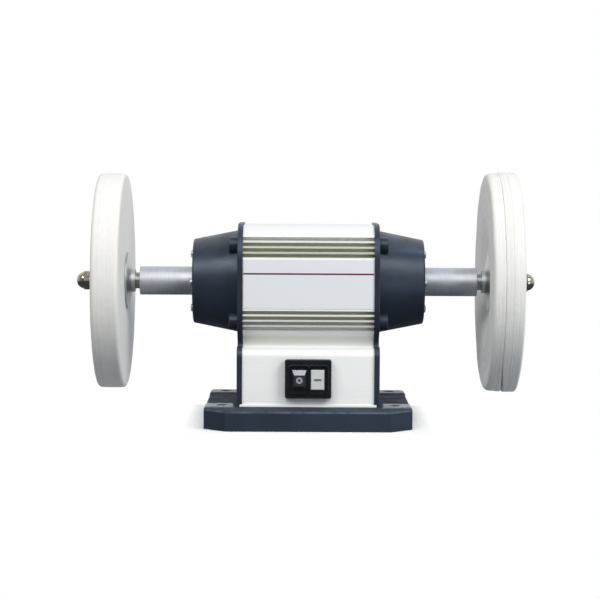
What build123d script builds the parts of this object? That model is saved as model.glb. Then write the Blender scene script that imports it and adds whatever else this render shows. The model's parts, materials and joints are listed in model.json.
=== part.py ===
"""Bench polishing machine: one long spindle with a felt wheel on the left and a sewn cotton wheel on the right.

A ribbed, extruded motor housing is clamped between two cast end shields by four tie bolts and stands on a
cast base. The spindle turns in two ball bearings and runs out through fixed sleeves to the two wheels.
Millimetres, +Z up. The spindle runs along X, the operator stands at -Y, and the origin is on the bench, under
the middle of the motor.
"""

from build123d import *
import os
from math import atan2, cos, degrees, radians, sqrt

# Clearances
SEAT_GAP = 0.05          # radial gap where a piece seats in or on another
RUN_GAP = 0.4            # gap between pieces that move past each other
HOLE_GAP = 0.4           # radial gap of a bolt in its hole
THREAD_GAP = 0.1         # radial gap that stands for a thread's play
AIR_GAP = 0.5            # rotor to stator

# Cast base
BASE_WIDTH = 188.0
BASE_FRONT = 98.0        # spindle to the front edge
BASE_REAR = 72.0         # and to the rear edge
BASE_HEIGHT = 18.0
BASE_CORNER_CUT = 20.0   # slanted front corners
BASE_REAR_RADIUS = 6.0
BASE_EDGE_RADIUS = 2.5
BASE_WALL = 6.0
BASE_TOP = 6.0
BENCH_HOLE_DIAMETER = 10.5
BENCH_HOLE_INSET_X = 15.3
BENCH_HOLE_INSET_Y = 38.5
BENCH_BOSS_WALL = 4.8
BENCH_PAD_RISE = 1.5     # pads round the bench holes stand above the base
BENCH_PAD_LENGTH = 31.0
BENCH_PAD_GAP = 1.5      # pad to the end shield
BENCH_PAD_DRAFT = 55.0   # slope of the pads' sides, in degrees
ACCESS_WIDTH = 70.0      # hole through the base top, for the wiring
ACCESS_DEPTH = 56.0
COVER_THICKNESS = 1.5
COVER_RECESS = 2.2       # bench to the underside of the cover
COVER_GAP = 0.6
COVER_POST_DIAMETER = 10.0
COVER_POST_INSET_X = 34.0
COVER_POST_INSET_Y = 8.0
COVER_SCREW_DIAMETER = 4.0
COVER_SCREW_HEAD = 1.6

# Motor
ROTOR_DIAMETER = 50.0
STACK_LENGTH = 50.0
TOOTH_TIP = 1.0
SLOT_COUNT = 24
SLOT_DEPTH = 10.0
SLOT_WIDTH = 3.6
SLOT_OPENING = 1.5
BACK_IRON = 7.5
WINDING_OVERHANG = 14.0
WINDING_ROUND = 4.0
COIL_GAP = 0.25          # slot liner
CAGE_BAR_COUNT = 20
CAGE_BAR_DIAMETER = 3.0
CAGE_BAR_DEPTH = 0.9
CAGE_RING_LENGTH = 6.0
CAGE_RING_HEIGHT = 9.0

# Extruded housing: the body's section is a barrel that is drawn in at a waist and stands on a pedestal
HOUSING_LENGTH = 120.0
BARREL_WALL = 9.0
BARREL_CORNER_RADIUS = 30.0
BARREL_FLOOR = 8.0
WAIST_RADIUS = 7.5
WAIST_INSET = 18.75      # the waist lies this much inside the barrel's sides
SHOULDER_RADIUS = 7.5
PEDESTAL_STEP = 7.5      # pedestal stands this much in front of the barrel
PANEL_HEIGHT = 45.6
PANEL_WALL = 4.0
FOOT_LIP_HEIGHT = 2.5
FOOT_LIP_DEPTH = 1.5
FOOT_LIP_CHAMFER = 1.0
FOOT_LIP_OVERHANG = 2.2  # the lips reach in front of the end shields
GROOVE_COUNT = 4
GROOVE_WIDTH = 3.3
GROOVE_DEPTH = 5.5
GROOVE_PITCH = 5.0
GROOVE_START = 3.0       # edge of the flat to the first groove
LEAD_HOLE_DIAMETER = 10.0
LABEL_THICKNESS = 0.4
LABEL_MARGIN = 0.6

# Tie bolts
TIE_BOLT_DIAMETER = 6.0
TIE_BOLT_WALL = 2.1      # housing bore to the bolt channel
TIE_HEAD_DIAMETER = 10.0
TIE_HEAD_LENGTH = 5.0
TIE_SOCKET = 5.0         # across flats
TIE_SOCKET_DEPTH = 3.0
TIE_BOSS_DIAMETER = 15.4
TIE_BOSS_LENGTH = 8.0

# End shields
PLATE_THICKNESS = 5.0
PLATE_PROUD = 1.5        # the plates' rim beyond the housing
PLATE_EDGE_RADIUS = 1.0
CONE_LENGTH = 42.0
CONE_RISE = 8.5          # difference of the cone's end radii
CONE_RIM = 8.3           # sleeve flange to the cone's outer edge
CONE_WALL = 4.5
CONE_EDGE_RADIUS = 2.0
SPIGOT_LENGTH = 4.0
SPIGOT_WALL = 4.0
BEARING_STOP = 3.0       # wall between bearing and sleeve flange
BEARING_SEAT_WALL = 5.0
BEARING_SEAT_LIP = 2.0
LUG_SIZE = 14.0
LUG_INSET = 19.5
PEDESTAL_SCREW_DIAMETER = 6.0
PEDESTAL_SCREW_GRIP = 9.0
PEDESTAL_SCREW_HEAD = 4.0
PEDESTAL_SCREW_HEAD_DIAMETER = 10.0

# Spindle, seen from its wheel seat inwards
WHEEL_SEAT_DIAMETER = 12.0
THREAD_STEP = 1.0
NECK_STEP = 1.5
BEARING_STEP = 1.0
CORE_STEP = 1.5
NECK_LENGTH = 4.5        # bare spindle between sleeve and flange
SEAT_RELIEF = 3.0        # the seat ends short of the outer flange's face
SPINDLE_CHAMFER = 0.8

# Ball bearings
BEARING_WIDTH = 12.0
BEARING_SECTION = 11.5   # radial height
RACE_THICKNESS = 3.0
BALL_COUNT = 8
BALL_DIAMETER = 6.6
BALL_GAP = 0.1
CAGE_THICKNESS = 1.9
CAGE_FRONT = 2.5         # reach of the cage's fingers past the balls' middle
CAGE_BACK = 5.0          # and of its closed side

# Spindle sleeves
SLEEVE_LENGTH = 50.0
SLEEVE_WALL = 4.25
SLEEVE_GAP = 1.5         # spindle neck to the sleeve's bore
SLEEVE_FLANGE_DIAMETER = 61.4
SLEEVE_FLANGE_THICKNESS = 4.0
SLEEVE_EDGE_RADIUS = 0.6
SEAL_WIDTH = 4.5
SEAL_SECTION = 2.5
SEAL_RECESS = 0.5
SLEEVE_SCREW_COUNT = 4
SLEEVE_SCREW_DIAMETER = 4.0
SLEEVE_SCREW_EDGE = 5.6  # screw axis to the flange's rim
SLEEVE_SCREW_LENGTH = 6.5
SLEEVE_SCREW_HEAD_DIAMETER = 7.5
SLEEVE_SCREW_HEAD = 2.8
SLEEVE_SCREW_CROSS = 4.2  # length of the cross recess
SLEEVE_SCREW_SLOT = 1.0
SLEEVE_SCREW_SLOT_DEPTH = 1.4

# Wheel flanges and cap nuts
FLANGE_DIAMETER = 52.0
FLANGE_LENGTH = 8.0
FLANGE_RIM = 1.6
FLANGE_HUB_WALL = 4.5
FLANGE_HUB_LENGTH = 3.0
FLANGE_RELIEF = 0.8      # the clamping face is cut back inside its rim
FLANGE_RIM_WIDTH = 7.0
NUT_ACROSS_FLATS = 17.0
NUT_HEX_HEIGHT = 7.0
NUT_HEIGHT = 14.0
NUT_CAP_WALL = 3.0
NUT_TIP_GAP = 1.0

# Wheels
FELT_DIAMETER = 200.0
FELT_THICKNESS = 25.0
FELT_EDGE_RADIUS = 2.0
COTTON_DIAMETER = 204.8
COTTON_TRIM = 1.4        # the inner section's rim is this much lower
COTTON_CLAMPED = 10.0    # thickness of one section between the flanges
COTTON_SWELL_IN = 5.5    # how far the faces stand out at the rim
COTTON_SWELL_MIDDLE = -1.0
COTTON_SWELL_OUT = 3.3
COTTON_SWELL_RISE = 32.0  # height over which the faces swell
COTTON_FLANGE_MARGIN = 3.0
COTTON_EDGE_RADIUS = 4.8
COTTON_MIDDLE_RADIUS = 1.6  # edges where the sections meet
PLY_GAP = 0.2

# Push-button switch
START_WIDTH = 12.3
START_HEIGHT = 18.1
STOP_WIDTH = 13.3
STOP_HEIGHT = 18.0
STOP_SLOPE_TOP = 4.6     # heights and width of the stop button's sloping faces
STOP_SLOPE_BOTTOM = 3.5
STOP_SLOPE_SIDE = 2.0
STOP_SLOPE_DEPTH = 3.2
BUTTON_BAR = 3.75        # between the two buttons
BUTTON_DROP = 0.8        # the buttons lie below the middle of the frame
BUTTON_PROUD = 2.0       # the stop button stands in front of the frame
BUTTON_SUNK = 0.6        # the start button lies behind the frame's face
BUTTON_FLANGE = 1.0
BUTTON_FLANGE_THICKNESS = 1.6
BUTTON_TRAVEL = 3.0
BUTTON_EDGE_RADIUS = 0.8
SWITCH_BORDER_X = 6.4
SWITCH_BORDER_Z = 8.65
SWITCH_PROUD = 7.0
SWITCH_RISE = 3.2       # the switch sits above the middle of the panel
WELL_DEPTH = 1.6         # shallow well round each button
WELL_BORDER_X = 3.6
WELL_BORDER_Z = 4.95
WELL_RADIUS = 2.5
WELL_BAR = 0.8           # between the two wells
WELL_RIM = 1.0           # width of the raised rim round a well
WELL_RIM_PROUD = 0.8
WELL_RIM_RADIUS = 0.4
SWITCH_EDGE_RADIUS = 2.0
SWITCH_FACE_RADIUS = 0.8
SWITCH_LAP = 2.0         # frame over the edge of the panel's cut-out
SWITCH_BODY_DEPTH = 26.0
SWITCH_BODY_GAP = 0.3
TERMINAL_WIDTH = 6.3
TERMINAL_THICKNESS = 0.8
TERMINAL_LENGTH = 8.0
TERMINAL_SPACING_X = 16.0
TERMINAL_SPACING_Z = 14.0

# Run capacitor
CAPACITOR_DIAMETER = 34.0
CAPACITOR_LENGTH = 62.0
CAPACITOR_OFFSET_X = -6.0
CAPACITOR_WALL_GAP = 8.0
CAPACITOR_RIM_RADIUS = 1.5
CLIP_THICKNESS = 1.5
CLIP_WIDTH = 14.0
CLIP_FOOT_WIDTH = 20.0
CLIP_FOOT_HEIGHT = 4.0

# Cable gland on the rear panel
GLAND_INSET_X = 22.0     # from the housing's right end
GLAND_RISE = 22.0        # above the base
GLAND_THREAD_DIAMETER = 16.0
GLAND_HEX = 20.0
GLAND_HEX_LENGTH = 5.0
GLAND_CAP_DIAMETER = 18.5
GLAND_CAP_LENGTH = 12.0
GLAND_CAP_MOUTH = 11.0
GLAND_CAP_ROUND = 3.0
GLAND_BORE = 9.0
GLAND_SEAL_LENGTH = 8.0
LOCKNUT_HEX = 21.0
LOCKNUT_LENGTH = 4.0
GLAND_THREAD_LENGTH = 9.5

# Places that follow from the sizes above, along the spindle
HOUSING_END = HOUSING_LENGTH / 2
PLATE_END = HOUSING_END + PLATE_THICKNESS
CONE_END = PLATE_END + CONE_LENGTH
STOP_FACE = CONE_END - SLEEVE_FLANGE_THICKNESS - BEARING_STOP
BEARING_START = STOP_FACE - BEARING_WIDTH
SLEEVE_END = CONE_END + SLEEVE_LENGTH
FLANGE_START = SLEEVE_END + NECK_LENGTH
WHEEL_START = FLANGE_START + FLANGE_LENGTH
STACK_END = STACK_LENGTH / 2

# Radii about the spindle
ROTOR_RADIUS = ROTOR_DIAMETER / 2
STATOR_BORE_RADIUS = ROTOR_RADIUS + AIR_GAP
SLOT_INNER_RADIUS = STATOR_BORE_RADIUS + TOOTH_TIP
SLOT_OUTER_RADIUS = SLOT_INNER_RADIUS + SLOT_DEPTH
STATOR_RADIUS = SLOT_OUTER_RADIUS + BACK_IRON
HOUSING_BORE_RADIUS = STATOR_RADIUS + SEAT_GAP
SEAT_RADIUS = WHEEL_SEAT_DIAMETER / 2
THREAD_RADIUS = SEAT_RADIUS - THREAD_STEP
NECK_RADIUS = SEAT_RADIUS + NECK_STEP
JOURNAL_RADIUS = NECK_RADIUS + BEARING_STEP
CORE_RADIUS = JOURNAL_RADIUS + CORE_STEP
BEARING_RADIUS = JOURNAL_RADIUS + BEARING_SECTION
PITCH_RADIUS = JOURNAL_RADIUS + BEARING_SECTION / 2
SLEEVE_BORE_RADIUS = NECK_RADIUS + SLEEVE_GAP
SLEEVE_RADIUS = SLEEVE_BORE_RADIUS + SLEEVE_WALL
SEAL_RADIUS = SLEEVE_BORE_RADIUS + SEAL_SECTION
SLEEVE_FLANGE_RADIUS = SLEEVE_FLANGE_DIAMETER / 2
SLEEVE_SCREW_CIRCLE = SLEEVE_FLANGE_RADIUS - SLEEVE_SCREW_EDGE
CONE_END_RADIUS = SLEEVE_FLANGE_RADIUS + CONE_RIM
CONE_BASE_RADIUS = CONE_END_RADIUS + CONE_RISE
TIE_BOLT_RADIUS = TIE_BOLT_DIAMETER / 2
TIE_OFFSET = (HOUSING_BORE_RADIUS + TIE_BOLT_WALL + TIE_BOLT_RADIUS + HOLE_GAP) * cos(radians(45))

# The body's section: y and z are measured from the spindle
BARREL_HALF = STATOR_RADIUS + BARREL_WALL
BARREL_FLAT = BARREL_HALF - BARREL_CORNER_RADIUS
PEDESTAL_HALF = BARREL_HALF + PEDESTAL_STEP
WAIST_Y = BARREL_HALF - WAIST_INSET + WAIST_RADIUS
WAIST_DROP = sqrt((BARREL_CORNER_RADIUS + WAIST_RADIUS) ** 2 - (WAIST_Y - BARREL_FLAT) ** 2)
WAIST_Z = -BARREL_FLAT - WAIST_DROP
SHOULDER_Y = PEDESTAL_HALF - SHOULDER_RADIUS
SHOULDER_DROP = sqrt((WAIST_RADIUS + SHOULDER_RADIUS) ** 2 - (SHOULDER_Y - WAIST_Y) ** 2)
SHOULDER_Z = WAIST_Z - SHOULDER_DROP
FOOT_Z = SHOULDER_Z - PANEL_HEIGHT
AXIS_HEIGHT = BASE_HEIGHT - FOOT_Z

# Places on the pedestal and the base
SWITCH_WIDTH = STOP_WIDTH + BUTTON_BAR + START_WIDTH + 2 * SWITCH_BORDER_X
SWITCH_HEIGHT = max(STOP_HEIGHT, START_HEIGHT) + 2 * SWITCH_BORDER_Z
SWITCH_Z = BASE_HEIGHT + PANEL_HEIGHT / 2 + SWITCH_RISE
BUTTON_Z = SWITCH_Z - BUTTON_DROP
BUTTON_SPAN = STOP_WIDTH + BUTTON_BAR + START_WIDTH
STOP_X = (STOP_WIDTH - BUTTON_SPAN) / 2
START_X = (BUTTON_SPAN - START_WIDTH) / 2
SWITCH_BODY_WIDTH = SWITCH_WIDTH - 2 * SWITCH_LAP
SWITCH_BODY_HEIGHT = SWITCH_HEIGHT - 2 * SWITCH_LAP
BENCH_HOLE_X = BASE_WIDTH / 2 - BENCH_HOLE_INSET_X
BENCH_HOLE_Y = BASE_FRONT - BENCH_HOLE_INSET_Y
BENCH_HOLE_RADIUS = BENCH_HOLE_DIAMETER / 2
BENCH_PAD_TOP = BASE_HEIGHT + BENCH_PAD_RISE
COVER_POST_X = BASE_WIDTH / 2 - BASE_WALL - COVER_POST_INSET_X
COVER_POST_FRONT = BASE_FRONT - BASE_WALL - COVER_POST_INSET_Y
COVER_POST_REAR = BASE_REAR - BASE_WALL - COVER_POST_INSET_Y
LUG_X = HOUSING_END - LUG_SIZE / 2
LUG_Y = PEDESTAL_HALF - LUG_INSET
GLAND_X = HOUSING_END - GLAND_INSET_X
GLAND_Z = BASE_HEIGHT + GLAND_RISE
CAPACITOR_RADIUS = CAPACITOR_DIAMETER / 2
CAPACITOR_Y = PEDESTAL_HALF - PANEL_WALL - CAPACITOR_WALL_GAP - CAPACITOR_RADIUS
CAPACITOR_Z = BASE_HEIGHT + CLIP_FOOT_HEIGHT + CAPACITOR_RADIUS

CORNERS = [(-1, -1), (1, -1), (1, 1), (-1, 1)]
COVER_POSTS = [(sx * COVER_POST_X, y) for sx in (-1, 1) for y in (-COVER_POST_FRONT, COVER_POST_REAR)]


def outline(grow):
    """Section of the body across the spindle, with its side and top moved outwards by grow."""
    half = BARREL_HALF + grow
    side = PEDESTAL_HALF + grow
    lean = degrees(atan2(-SHOULDER_DROP, SHOULDER_Y - WAIST_Y))
    turn = degrees(atan2(WAIST_DROP, WAIST_Y - BARREL_FLAT))
    edges = [
        Line((0, half), (BARREL_FLAT, half)),
        CenterArc((BARREL_FLAT, BARREL_FLAT), BARREL_CORNER_RADIUS + grow, 90, -90),
        Line((half, BARREL_FLAT), (half, -BARREL_FLAT)),
        CenterArc((BARREL_FLAT, -BARREL_FLAT), BARREL_CORNER_RADIUS + grow, 0, -turn),
        CenterArc((WAIST_Y, WAIST_Z), WAIST_RADIUS - grow, 180 - turn, 180 + lean + turn),
        CenterArc((SHOULDER_Y, SHOULDER_Z), SHOULDER_RADIUS + grow, 180 + lean, -180 - lean),
        Line((side, SHOULDER_Z), (side, FOOT_Z)),
        Line((side, FOOT_Z), (0, FOOT_Z)),
        Line((0, FOOT_Z), (0, half)),
    ]
    right = make_face(edges)
    return right + mirror(right, about=Plane.YZ)


def prism(section, start, end):
    """Extrude a section, drawn as (y, z) from the spindle, from x = start to x = end."""
    plane = Plane(origin=(start, 0, AXIS_HEIGHT), x_dir=(0, 1, 0), z_dir=(1, 0, 0))
    return extrude(plane * section, end - start)


def turned(*points):
    """Turn a closed profile of (x, radius) points about the spindle."""
    profile = make_face(Polyline(*points, close=True))
    return Pos(0, 0, AXIS_HEIGHT) * revolve(profile, Axis.X)


def ring(start, end, inner, outer):
    """A plain ring about the spindle."""
    return turned((start, inner), (start, outer), (end, outer), (end, inner))


def rod(radius, start, end, y=0, z=AXIS_HEIGHT):
    """A round bar along X, at a given place."""
    return Pos((start + end) / 2, y, z) * Rot(0, 90, 0) * Cylinder(radius, end - start)


def peg(radius, low, high, x, y):
    """A round bar along Z."""
    return Pos(x, y, (low + high) / 2) * Cylinder(radius, high - low)


def lathe_y(x, z, *points):
    """Turn a closed profile of (y, radius) points about an axis along Y."""
    profile = make_face(Polyline(*points, close=True))
    return Pos(x, 0, z) * Rot(0, 0, 90) * revolve(profile, Axis.X)


def hexagon_y(across, start, end, x, z):
    """A hexagonal bar along Y."""
    plane = Plane(origin=(x, start, z), x_dir=(1, 0, 0), z_dir=(0, 1, 0))
    return extrude(plane * RegularPolygon(across / 2, 6, major_radius=False), end - start)


def block(x0, x1, y0, y1, z0, z1):
    """A box between two corners."""
    return Pos((x0 + x1) / 2, (y0 + y1) / 2, (z0 + z1) / 2) * Box(x1 - x0, y1 - y0, z1 - z0)


def around(shape, count):
    """Copies of a shape, spaced evenly about the spindle."""
    centre = Pos(0, 0, AXIS_HEIGHT)
    return [centre * Rot(360 * i / count, 0, 0) * centre.inverse() * shape for i in range(count)]


def side(shape, name):
    """A piece made for the right end, or its mirror image for the left end."""
    return shape if name == "right" else mirror(shape, about=Plane.YZ)


def write(name, shape):
    """Write one named piece, or a group of separate solids given as a list."""
    export_step(Compound(shape) if isinstance(shape, list) else shape, f"parts/{name}.step")


# Base
def base_outline(inset):
    """Plan of the base: slanted front corners, rounded rear ones."""
    x = BASE_WIDTH / 2 - inset
    front = inset - BASE_FRONT
    rear = BASE_REAR - inset
    cut = BASE_CORNER_CUT - inset * (2 - sqrt(2))
    radius = BASE_REAR_RADIUS
    points = [(-x, rear), (-x, front + cut), (cut - x, front), (x - cut, front), (x, front + cut), (x, rear)]
    return make_face(FilletPolyline(*points, radius=[radius, 0, 0, 0, 0, radius], close=True))


def bench_pads():
    """Raised pads across the ends of the base, round the bench holes."""
    tall = extrude(base_outline(0), BENCH_PAD_TOP)
    tall = fillet(tall.faces().sort_by(Axis.Z)[-1].edges(), BASE_EDGE_RADIUS)
    start = PLATE_END + BENCH_PAD_GAP
    foot = BASE_HEIGHT - BASE_EDGE_RADIUS
    pads = []
    for sx, sy in CORNERS:
        plan = Pos(sx * (start + BASE_WIDTH / 2), sy * BENCH_HOLE_Y) * Rectangle(BASE_WIDTH, BENCH_PAD_LENGTH)
        wedge = extrude(Pos(0, 0, BASE_HEIGHT) * plan, BENCH_PAD_RISE, taper=BENCH_PAD_DRAFT)
        pads.append(tall & (wedge + extrude(Pos(0, 0, foot) * plan, BASE_EDGE_RADIUS)))
    return pads


def base_casting():
    """Cast base: a shallow shell with bosses for the bench bolts and posts for its cover."""
    body = extrude(base_outline(0), BASE_HEIGHT)
    body = fillet(body.faces().sort_by(Axis.Z)[-1].edges(), BASE_EDGE_RADIUS)
    roof = BASE_HEIGHT - BASE_TOP
    hollow = extrude(base_outline(BASE_WALL), roof)
    cover_top = COVER_RECESS + COVER_THICKNESS
    for sx, sy in CORNERS:
        hollow -= peg(BENCH_HOLE_RADIUS + BENCH_BOSS_WALL, 0, roof, sx * BENCH_HOLE_X, sy * BENCH_HOLE_Y)
    for x, y in COVER_POSTS:
        hollow -= peg(COVER_POST_DIAMETER / 2, cover_top, roof, x, y)
    body -= hollow
    body += bench_pads()
    body -= block(-ACCESS_WIDTH / 2, ACCESS_WIDTH / 2, -ACCESS_DEPTH / 2, ACCESS_DEPTH / 2, roof, BASE_HEIGHT)
    for sx, sy in CORNERS:
        body -= peg(BENCH_HOLE_RADIUS, 0, BENCH_PAD_TOP, sx * BENCH_HOLE_X, sy * BENCH_HOLE_Y)
        body -= peg(PEDESTAL_SCREW_DIAMETER / 2 + HOLE_GAP, roof, BASE_HEIGHT, sx * LUG_X, sy * LUG_Y)
    for x, y in COVER_POSTS:
        body -= peg(COVER_SCREW_DIAMETER / 2 + THREAD_GAP, cover_top, roof, x, y)
    return body


def base_cover():
    """Sheet that closes the base from below, cut out round the bench bolts' bosses."""
    top = COVER_RECESS + COVER_THICKNESS
    sheet = Pos(0, 0, COVER_RECESS) * extrude(base_outline(BASE_WALL + COVER_GAP), COVER_THICKNESS)
    for sx, sy in CORNERS:
        boss = BENCH_HOLE_RADIUS + BENCH_BOSS_WALL + COVER_GAP
        sheet -= peg(boss, COVER_RECESS, top, sx * BENCH_HOLE_X, sy * BENCH_HOLE_Y)
    for x, y in COVER_POSTS:
        sheet -= peg(COVER_SCREW_DIAMETER / 2 + HOLE_GAP, COVER_RECESS, top, x, y)
    return sheet


def base_cover_screws():
    """Four screws through the cover into the posts."""
    roof = BASE_HEIGHT - BASE_TOP
    screws = []
    for x, y in COVER_POSTS:
        head = peg(COVER_SCREW_DIAMETER, COVER_RECESS - COVER_SCREW_HEAD, COVER_RECESS, x, y)
        screws.append(head + peg(COVER_SCREW_DIAMETER / 2, COVER_RECESS, roof, x, y))
    return screws


def pedestal_screws():
    """Four screws from inside the base up into the end shields' lugs."""
    roof = BASE_HEIGHT - BASE_TOP
    screws = []
    for sx, sy in CORNERS:
        x, y = sx * LUG_X, sy * LUG_Y
        head = peg(PEDESTAL_SCREW_HEAD_DIAMETER / 2, roof - PEDESTAL_SCREW_HEAD, roof, x, y)
        shank = peg(PEDESTAL_SCREW_DIAMETER / 2, roof, BASE_HEIGHT + PEDESTAL_SCREW_GRIP, x, y)
        screws.append(head + shank)
    return screws


# Housing and end shields
def grooves():
    """Cooling grooves along the rounded corners of the barrel, as a section."""
    cuts = []
    for index in range(GROOVE_COUNT):
        rise = GROOVE_START + index * GROOVE_PITCH
        surface = BARREL_FLAT + sqrt(BARREL_CORNER_RADIUS ** 2 - rise ** 2)
        for sy, sz in CORNERS:
            place = Pos(sy * surface, sz * (BARREL_FLAT + rise))
            cuts.append(place * Rectangle(2 * GROOVE_DEPTH, GROOVE_WIDTH))
    return cuts


def foot_lips():
    """Chamfered lips along the housing's foot, front and rear."""
    end = HOUSING_END + FOOT_LIP_OVERHANG
    face = PEDESTAL_HALF + FOOT_LIP_DEPTH
    top = FOOT_Z + FOOT_LIP_HEIGHT
    points = [
        (PEDESTAL_HALF, FOOT_Z), (face, FOOT_Z), (face, top - FOOT_LIP_CHAMFER), (face - FOOT_LIP_CHAMFER, top),
        (PEDESTAL_HALF, top),
    ]
    lip = prism(make_face(Polyline(*points, close=True)), -end, end)
    return [lip, mirror(lip, about=Plane.XZ)]


def motor_housing():
    """Ribbed extrusion: barrel with the stator's bore above, open pedestal for the wiring below."""
    section = outline(0)
    cavity_top = -HOUSING_BORE_RADIUS - BARREL_FLOOR
    below = Pos(0, (cavity_top + FOOT_Z) / 2) * Rectangle(4 * PEDESTAL_HALF, cavity_top - FOOT_Z)
    section -= outline(-PANEL_WALL) & below
    section -= Circle(HOUSING_BORE_RADIUS)
    section -= [Pos(sy * TIE_OFFSET, sz * TIE_OFFSET) * Circle(TIE_BOLT_RADIUS + HOLE_GAP) for sy, sz in CORNERS]
    section -= grooves()
    body = prism(section, -HOUSING_END, HOUSING_END) + foot_lips()
    lead_x = STACK_END + WINDING_OVERHANG / 2
    body -= peg(LEAD_HOLE_DIAMETER / 2, AXIS_HEIGHT + cavity_top, AXIS_HEIGHT - STATOR_BORE_RADIUS, lead_x, 0)
    cut_x = SWITCH_BODY_WIDTH / 2 + SWITCH_BODY_GAP
    cut_z = SWITCH_BODY_HEIGHT / 2 + SWITCH_BODY_GAP
    inner = PEDESTAL_HALF - PANEL_WALL
    body -= block(-cut_x, cut_x, -PEDESTAL_HALF, -inner, SWITCH_Z - cut_z, SWITCH_Z + cut_z)
    body -= lathe_y(GLAND_X, GLAND_Z, *bar(inner, PEDESTAL_HALF, GLAND_THREAD_DIAMETER / 2 + HOLE_GAP))
    return body


def bar(start, end, radius):
    """Profile of a plain round bar, for turning."""
    return [(start, 0), (start, radius), (end, radius), (end, 0)]


def end_shield():
    """Right end shield: rimmed plate, hollow cone with the bearing seat, bolt bosses and base lugs."""
    plate = prism(outline(PLATE_PROUD), HOUSING_END, PLATE_END)
    rim = plate.edges().group_by(Axis.X)[-1].filter_by(lambda e: e.center().Z > BASE_HEIGHT + PLATE_EDGE_RADIUS)
    plate = fillet(rim, PLATE_EDGE_RADIUS)
    cone = turned(
        (HOUSING_END, 0), (HOUSING_END, CONE_BASE_RADIUS), (PLATE_END, CONE_BASE_RADIUS),
        (CONE_END, CONE_END_RADIUS), (CONE_END, 0),
    )
    cone = fillet(cone.edges().group_by(Axis.X)[-1], CONE_EDGE_RADIUS)
    shield = plate + cone
    corners = [(sy * TIE_OFFSET, AXIS_HEIGHT + sz * TIE_OFFSET) for sy, sz in CORNERS]
    boss_end = PLATE_END + TIE_BOSS_LENGTH
    for y, z in corners:
        boss = rod(TIE_BOSS_DIAMETER / 2, HOUSING_END, boss_end, y, z)
        shield += fillet(boss.edges().sort_by(Axis.X)[-1], PLATE_EDGE_RADIUS)
    spigot_radius = HOUSING_BORE_RADIUS - SEAT_GAP
    shield += ring(HOUSING_END - SPIGOT_LENGTH, HOUSING_END, spigot_radius - SPIGOT_WALL, spigot_radius)
    inner_base = min(CONE_BASE_RADIUS - CONE_WALL, spigot_radius - SPIGOT_WALL)
    shield -= turned(
        (HOUSING_END, 0), (HOUSING_END, inner_base), (PLATE_END, inner_base),
        (STOP_FACE, CONE_END_RADIUS - CONE_WALL), (STOP_FACE, 0),
    )
    seat_radius = BEARING_RADIUS + SEAT_GAP
    shield += ring(BEARING_START - BEARING_SEAT_LIP, STOP_FACE, seat_radius, seat_radius + BEARING_SEAT_WALL)
    shield -= ring(STOP_FACE, CONE_END, 0, SLEEVE_BORE_RADIUS)
    shield -= ring(CONE_END - SLEEVE_FLANGE_THICKNESS, CONE_END, 0, SLEEVE_FLANGE_RADIUS + SEAT_GAP)
    hole = rod(SLEEVE_SCREW_DIAMETER / 2 + THREAD_GAP, STOP_FACE, CONE_END, 0, AXIS_HEIGHT + SLEEVE_SCREW_CIRCLE)
    shield -= around(hole, SLEEVE_SCREW_COUNT)
    for y, z in corners:
        shield -= rod(TIE_BOLT_RADIUS + HOLE_GAP, HOUSING_END, boss_end, y, z)
        shield -= rod(TIE_HEAD_DIAMETER / 2 + RUN_GAP, boss_end - TIE_HEAD_LENGTH, boss_end, y, z)
    for sy in (-1, 1):
        y0, y1 = sy * LUG_Y - LUG_SIZE / 2, sy * LUG_Y + LUG_SIZE / 2
        shield += block(LUG_X - LUG_SIZE / 2, HOUSING_END, y0, y1, BASE_HEIGHT, BASE_HEIGHT + LUG_SIZE)
        screw = PEDESTAL_SCREW_DIAMETER / 2 + THREAD_GAP
        shield -= peg(screw, BASE_HEIGHT, BASE_HEIGHT + LUG_SIZE, LUG_X, sy * LUG_Y)
        y0, y1 = sorted((sy * (PEDESTAL_HALF - SEAT_GAP), sy * (PEDESTAL_HALF + PLATE_PROUD)))
        lip_end = HOUSING_END + FOOT_LIP_OVERHANG + SEAT_GAP
        shield -= block(HOUSING_END, lip_end, y0, y1, BASE_HEIGHT, BASE_HEIGHT + FOOT_LIP_HEIGHT + SEAT_GAP)
    return shield


def tie_bolts():
    """Four long bolts that clamp the shields on the housing, heads on the left."""
    seat = PLATE_END + TIE_BOSS_LENGTH - TIE_HEAD_LENGTH
    bolts = []
    for sy, sz in CORNERS:
        y, z = sy * TIE_OFFSET, AXIS_HEIGHT + sz * TIE_OFFSET
        end = -seat - TIE_HEAD_LENGTH
        head = rod(TIE_HEAD_DIAMETER / 2, end, -seat, y, z)
        socket = Pos(sy * TIE_OFFSET, sz * TIE_OFFSET) * RegularPolygon(TIE_SOCKET / 2, 6, major_radius=False)
        head -= prism(socket, end, end + TIE_SOCKET_DEPTH)
        bolts.append(head + rod(TIE_BOLT_RADIUS, -seat, seat + TIE_HEAD_LENGTH, y, z))
    return bolts


def tie_bolt_nuts():
    """Hexagon nuts in the right shield's bosses."""
    seat = PLATE_END + TIE_BOSS_LENGTH - TIE_HEAD_LENGTH
    nut = RegularPolygon(TIE_HEAD_DIAMETER / 2, 6) - Circle(TIE_BOLT_RADIUS + THREAD_GAP)
    return [
        prism(Pos(sy * TIE_OFFSET, sz * TIE_OFFSET) * nut, seat, seat + TIE_HEAD_LENGTH - SPINDLE_CHAMFER)
        for sy, sz in CORNERS
    ]


def front_label():
    """Plain label film on the flat of the barrel's front."""
    x = HOUSING_END - LABEL_MARGIN
    z = BARREL_FLAT - LABEL_MARGIN
    return block(-x, x, -BARREL_HALF - LABEL_THICKNESS, -BARREL_HALF, AXIS_HEIGHT - z, AXIS_HEIGHT + z)


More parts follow.
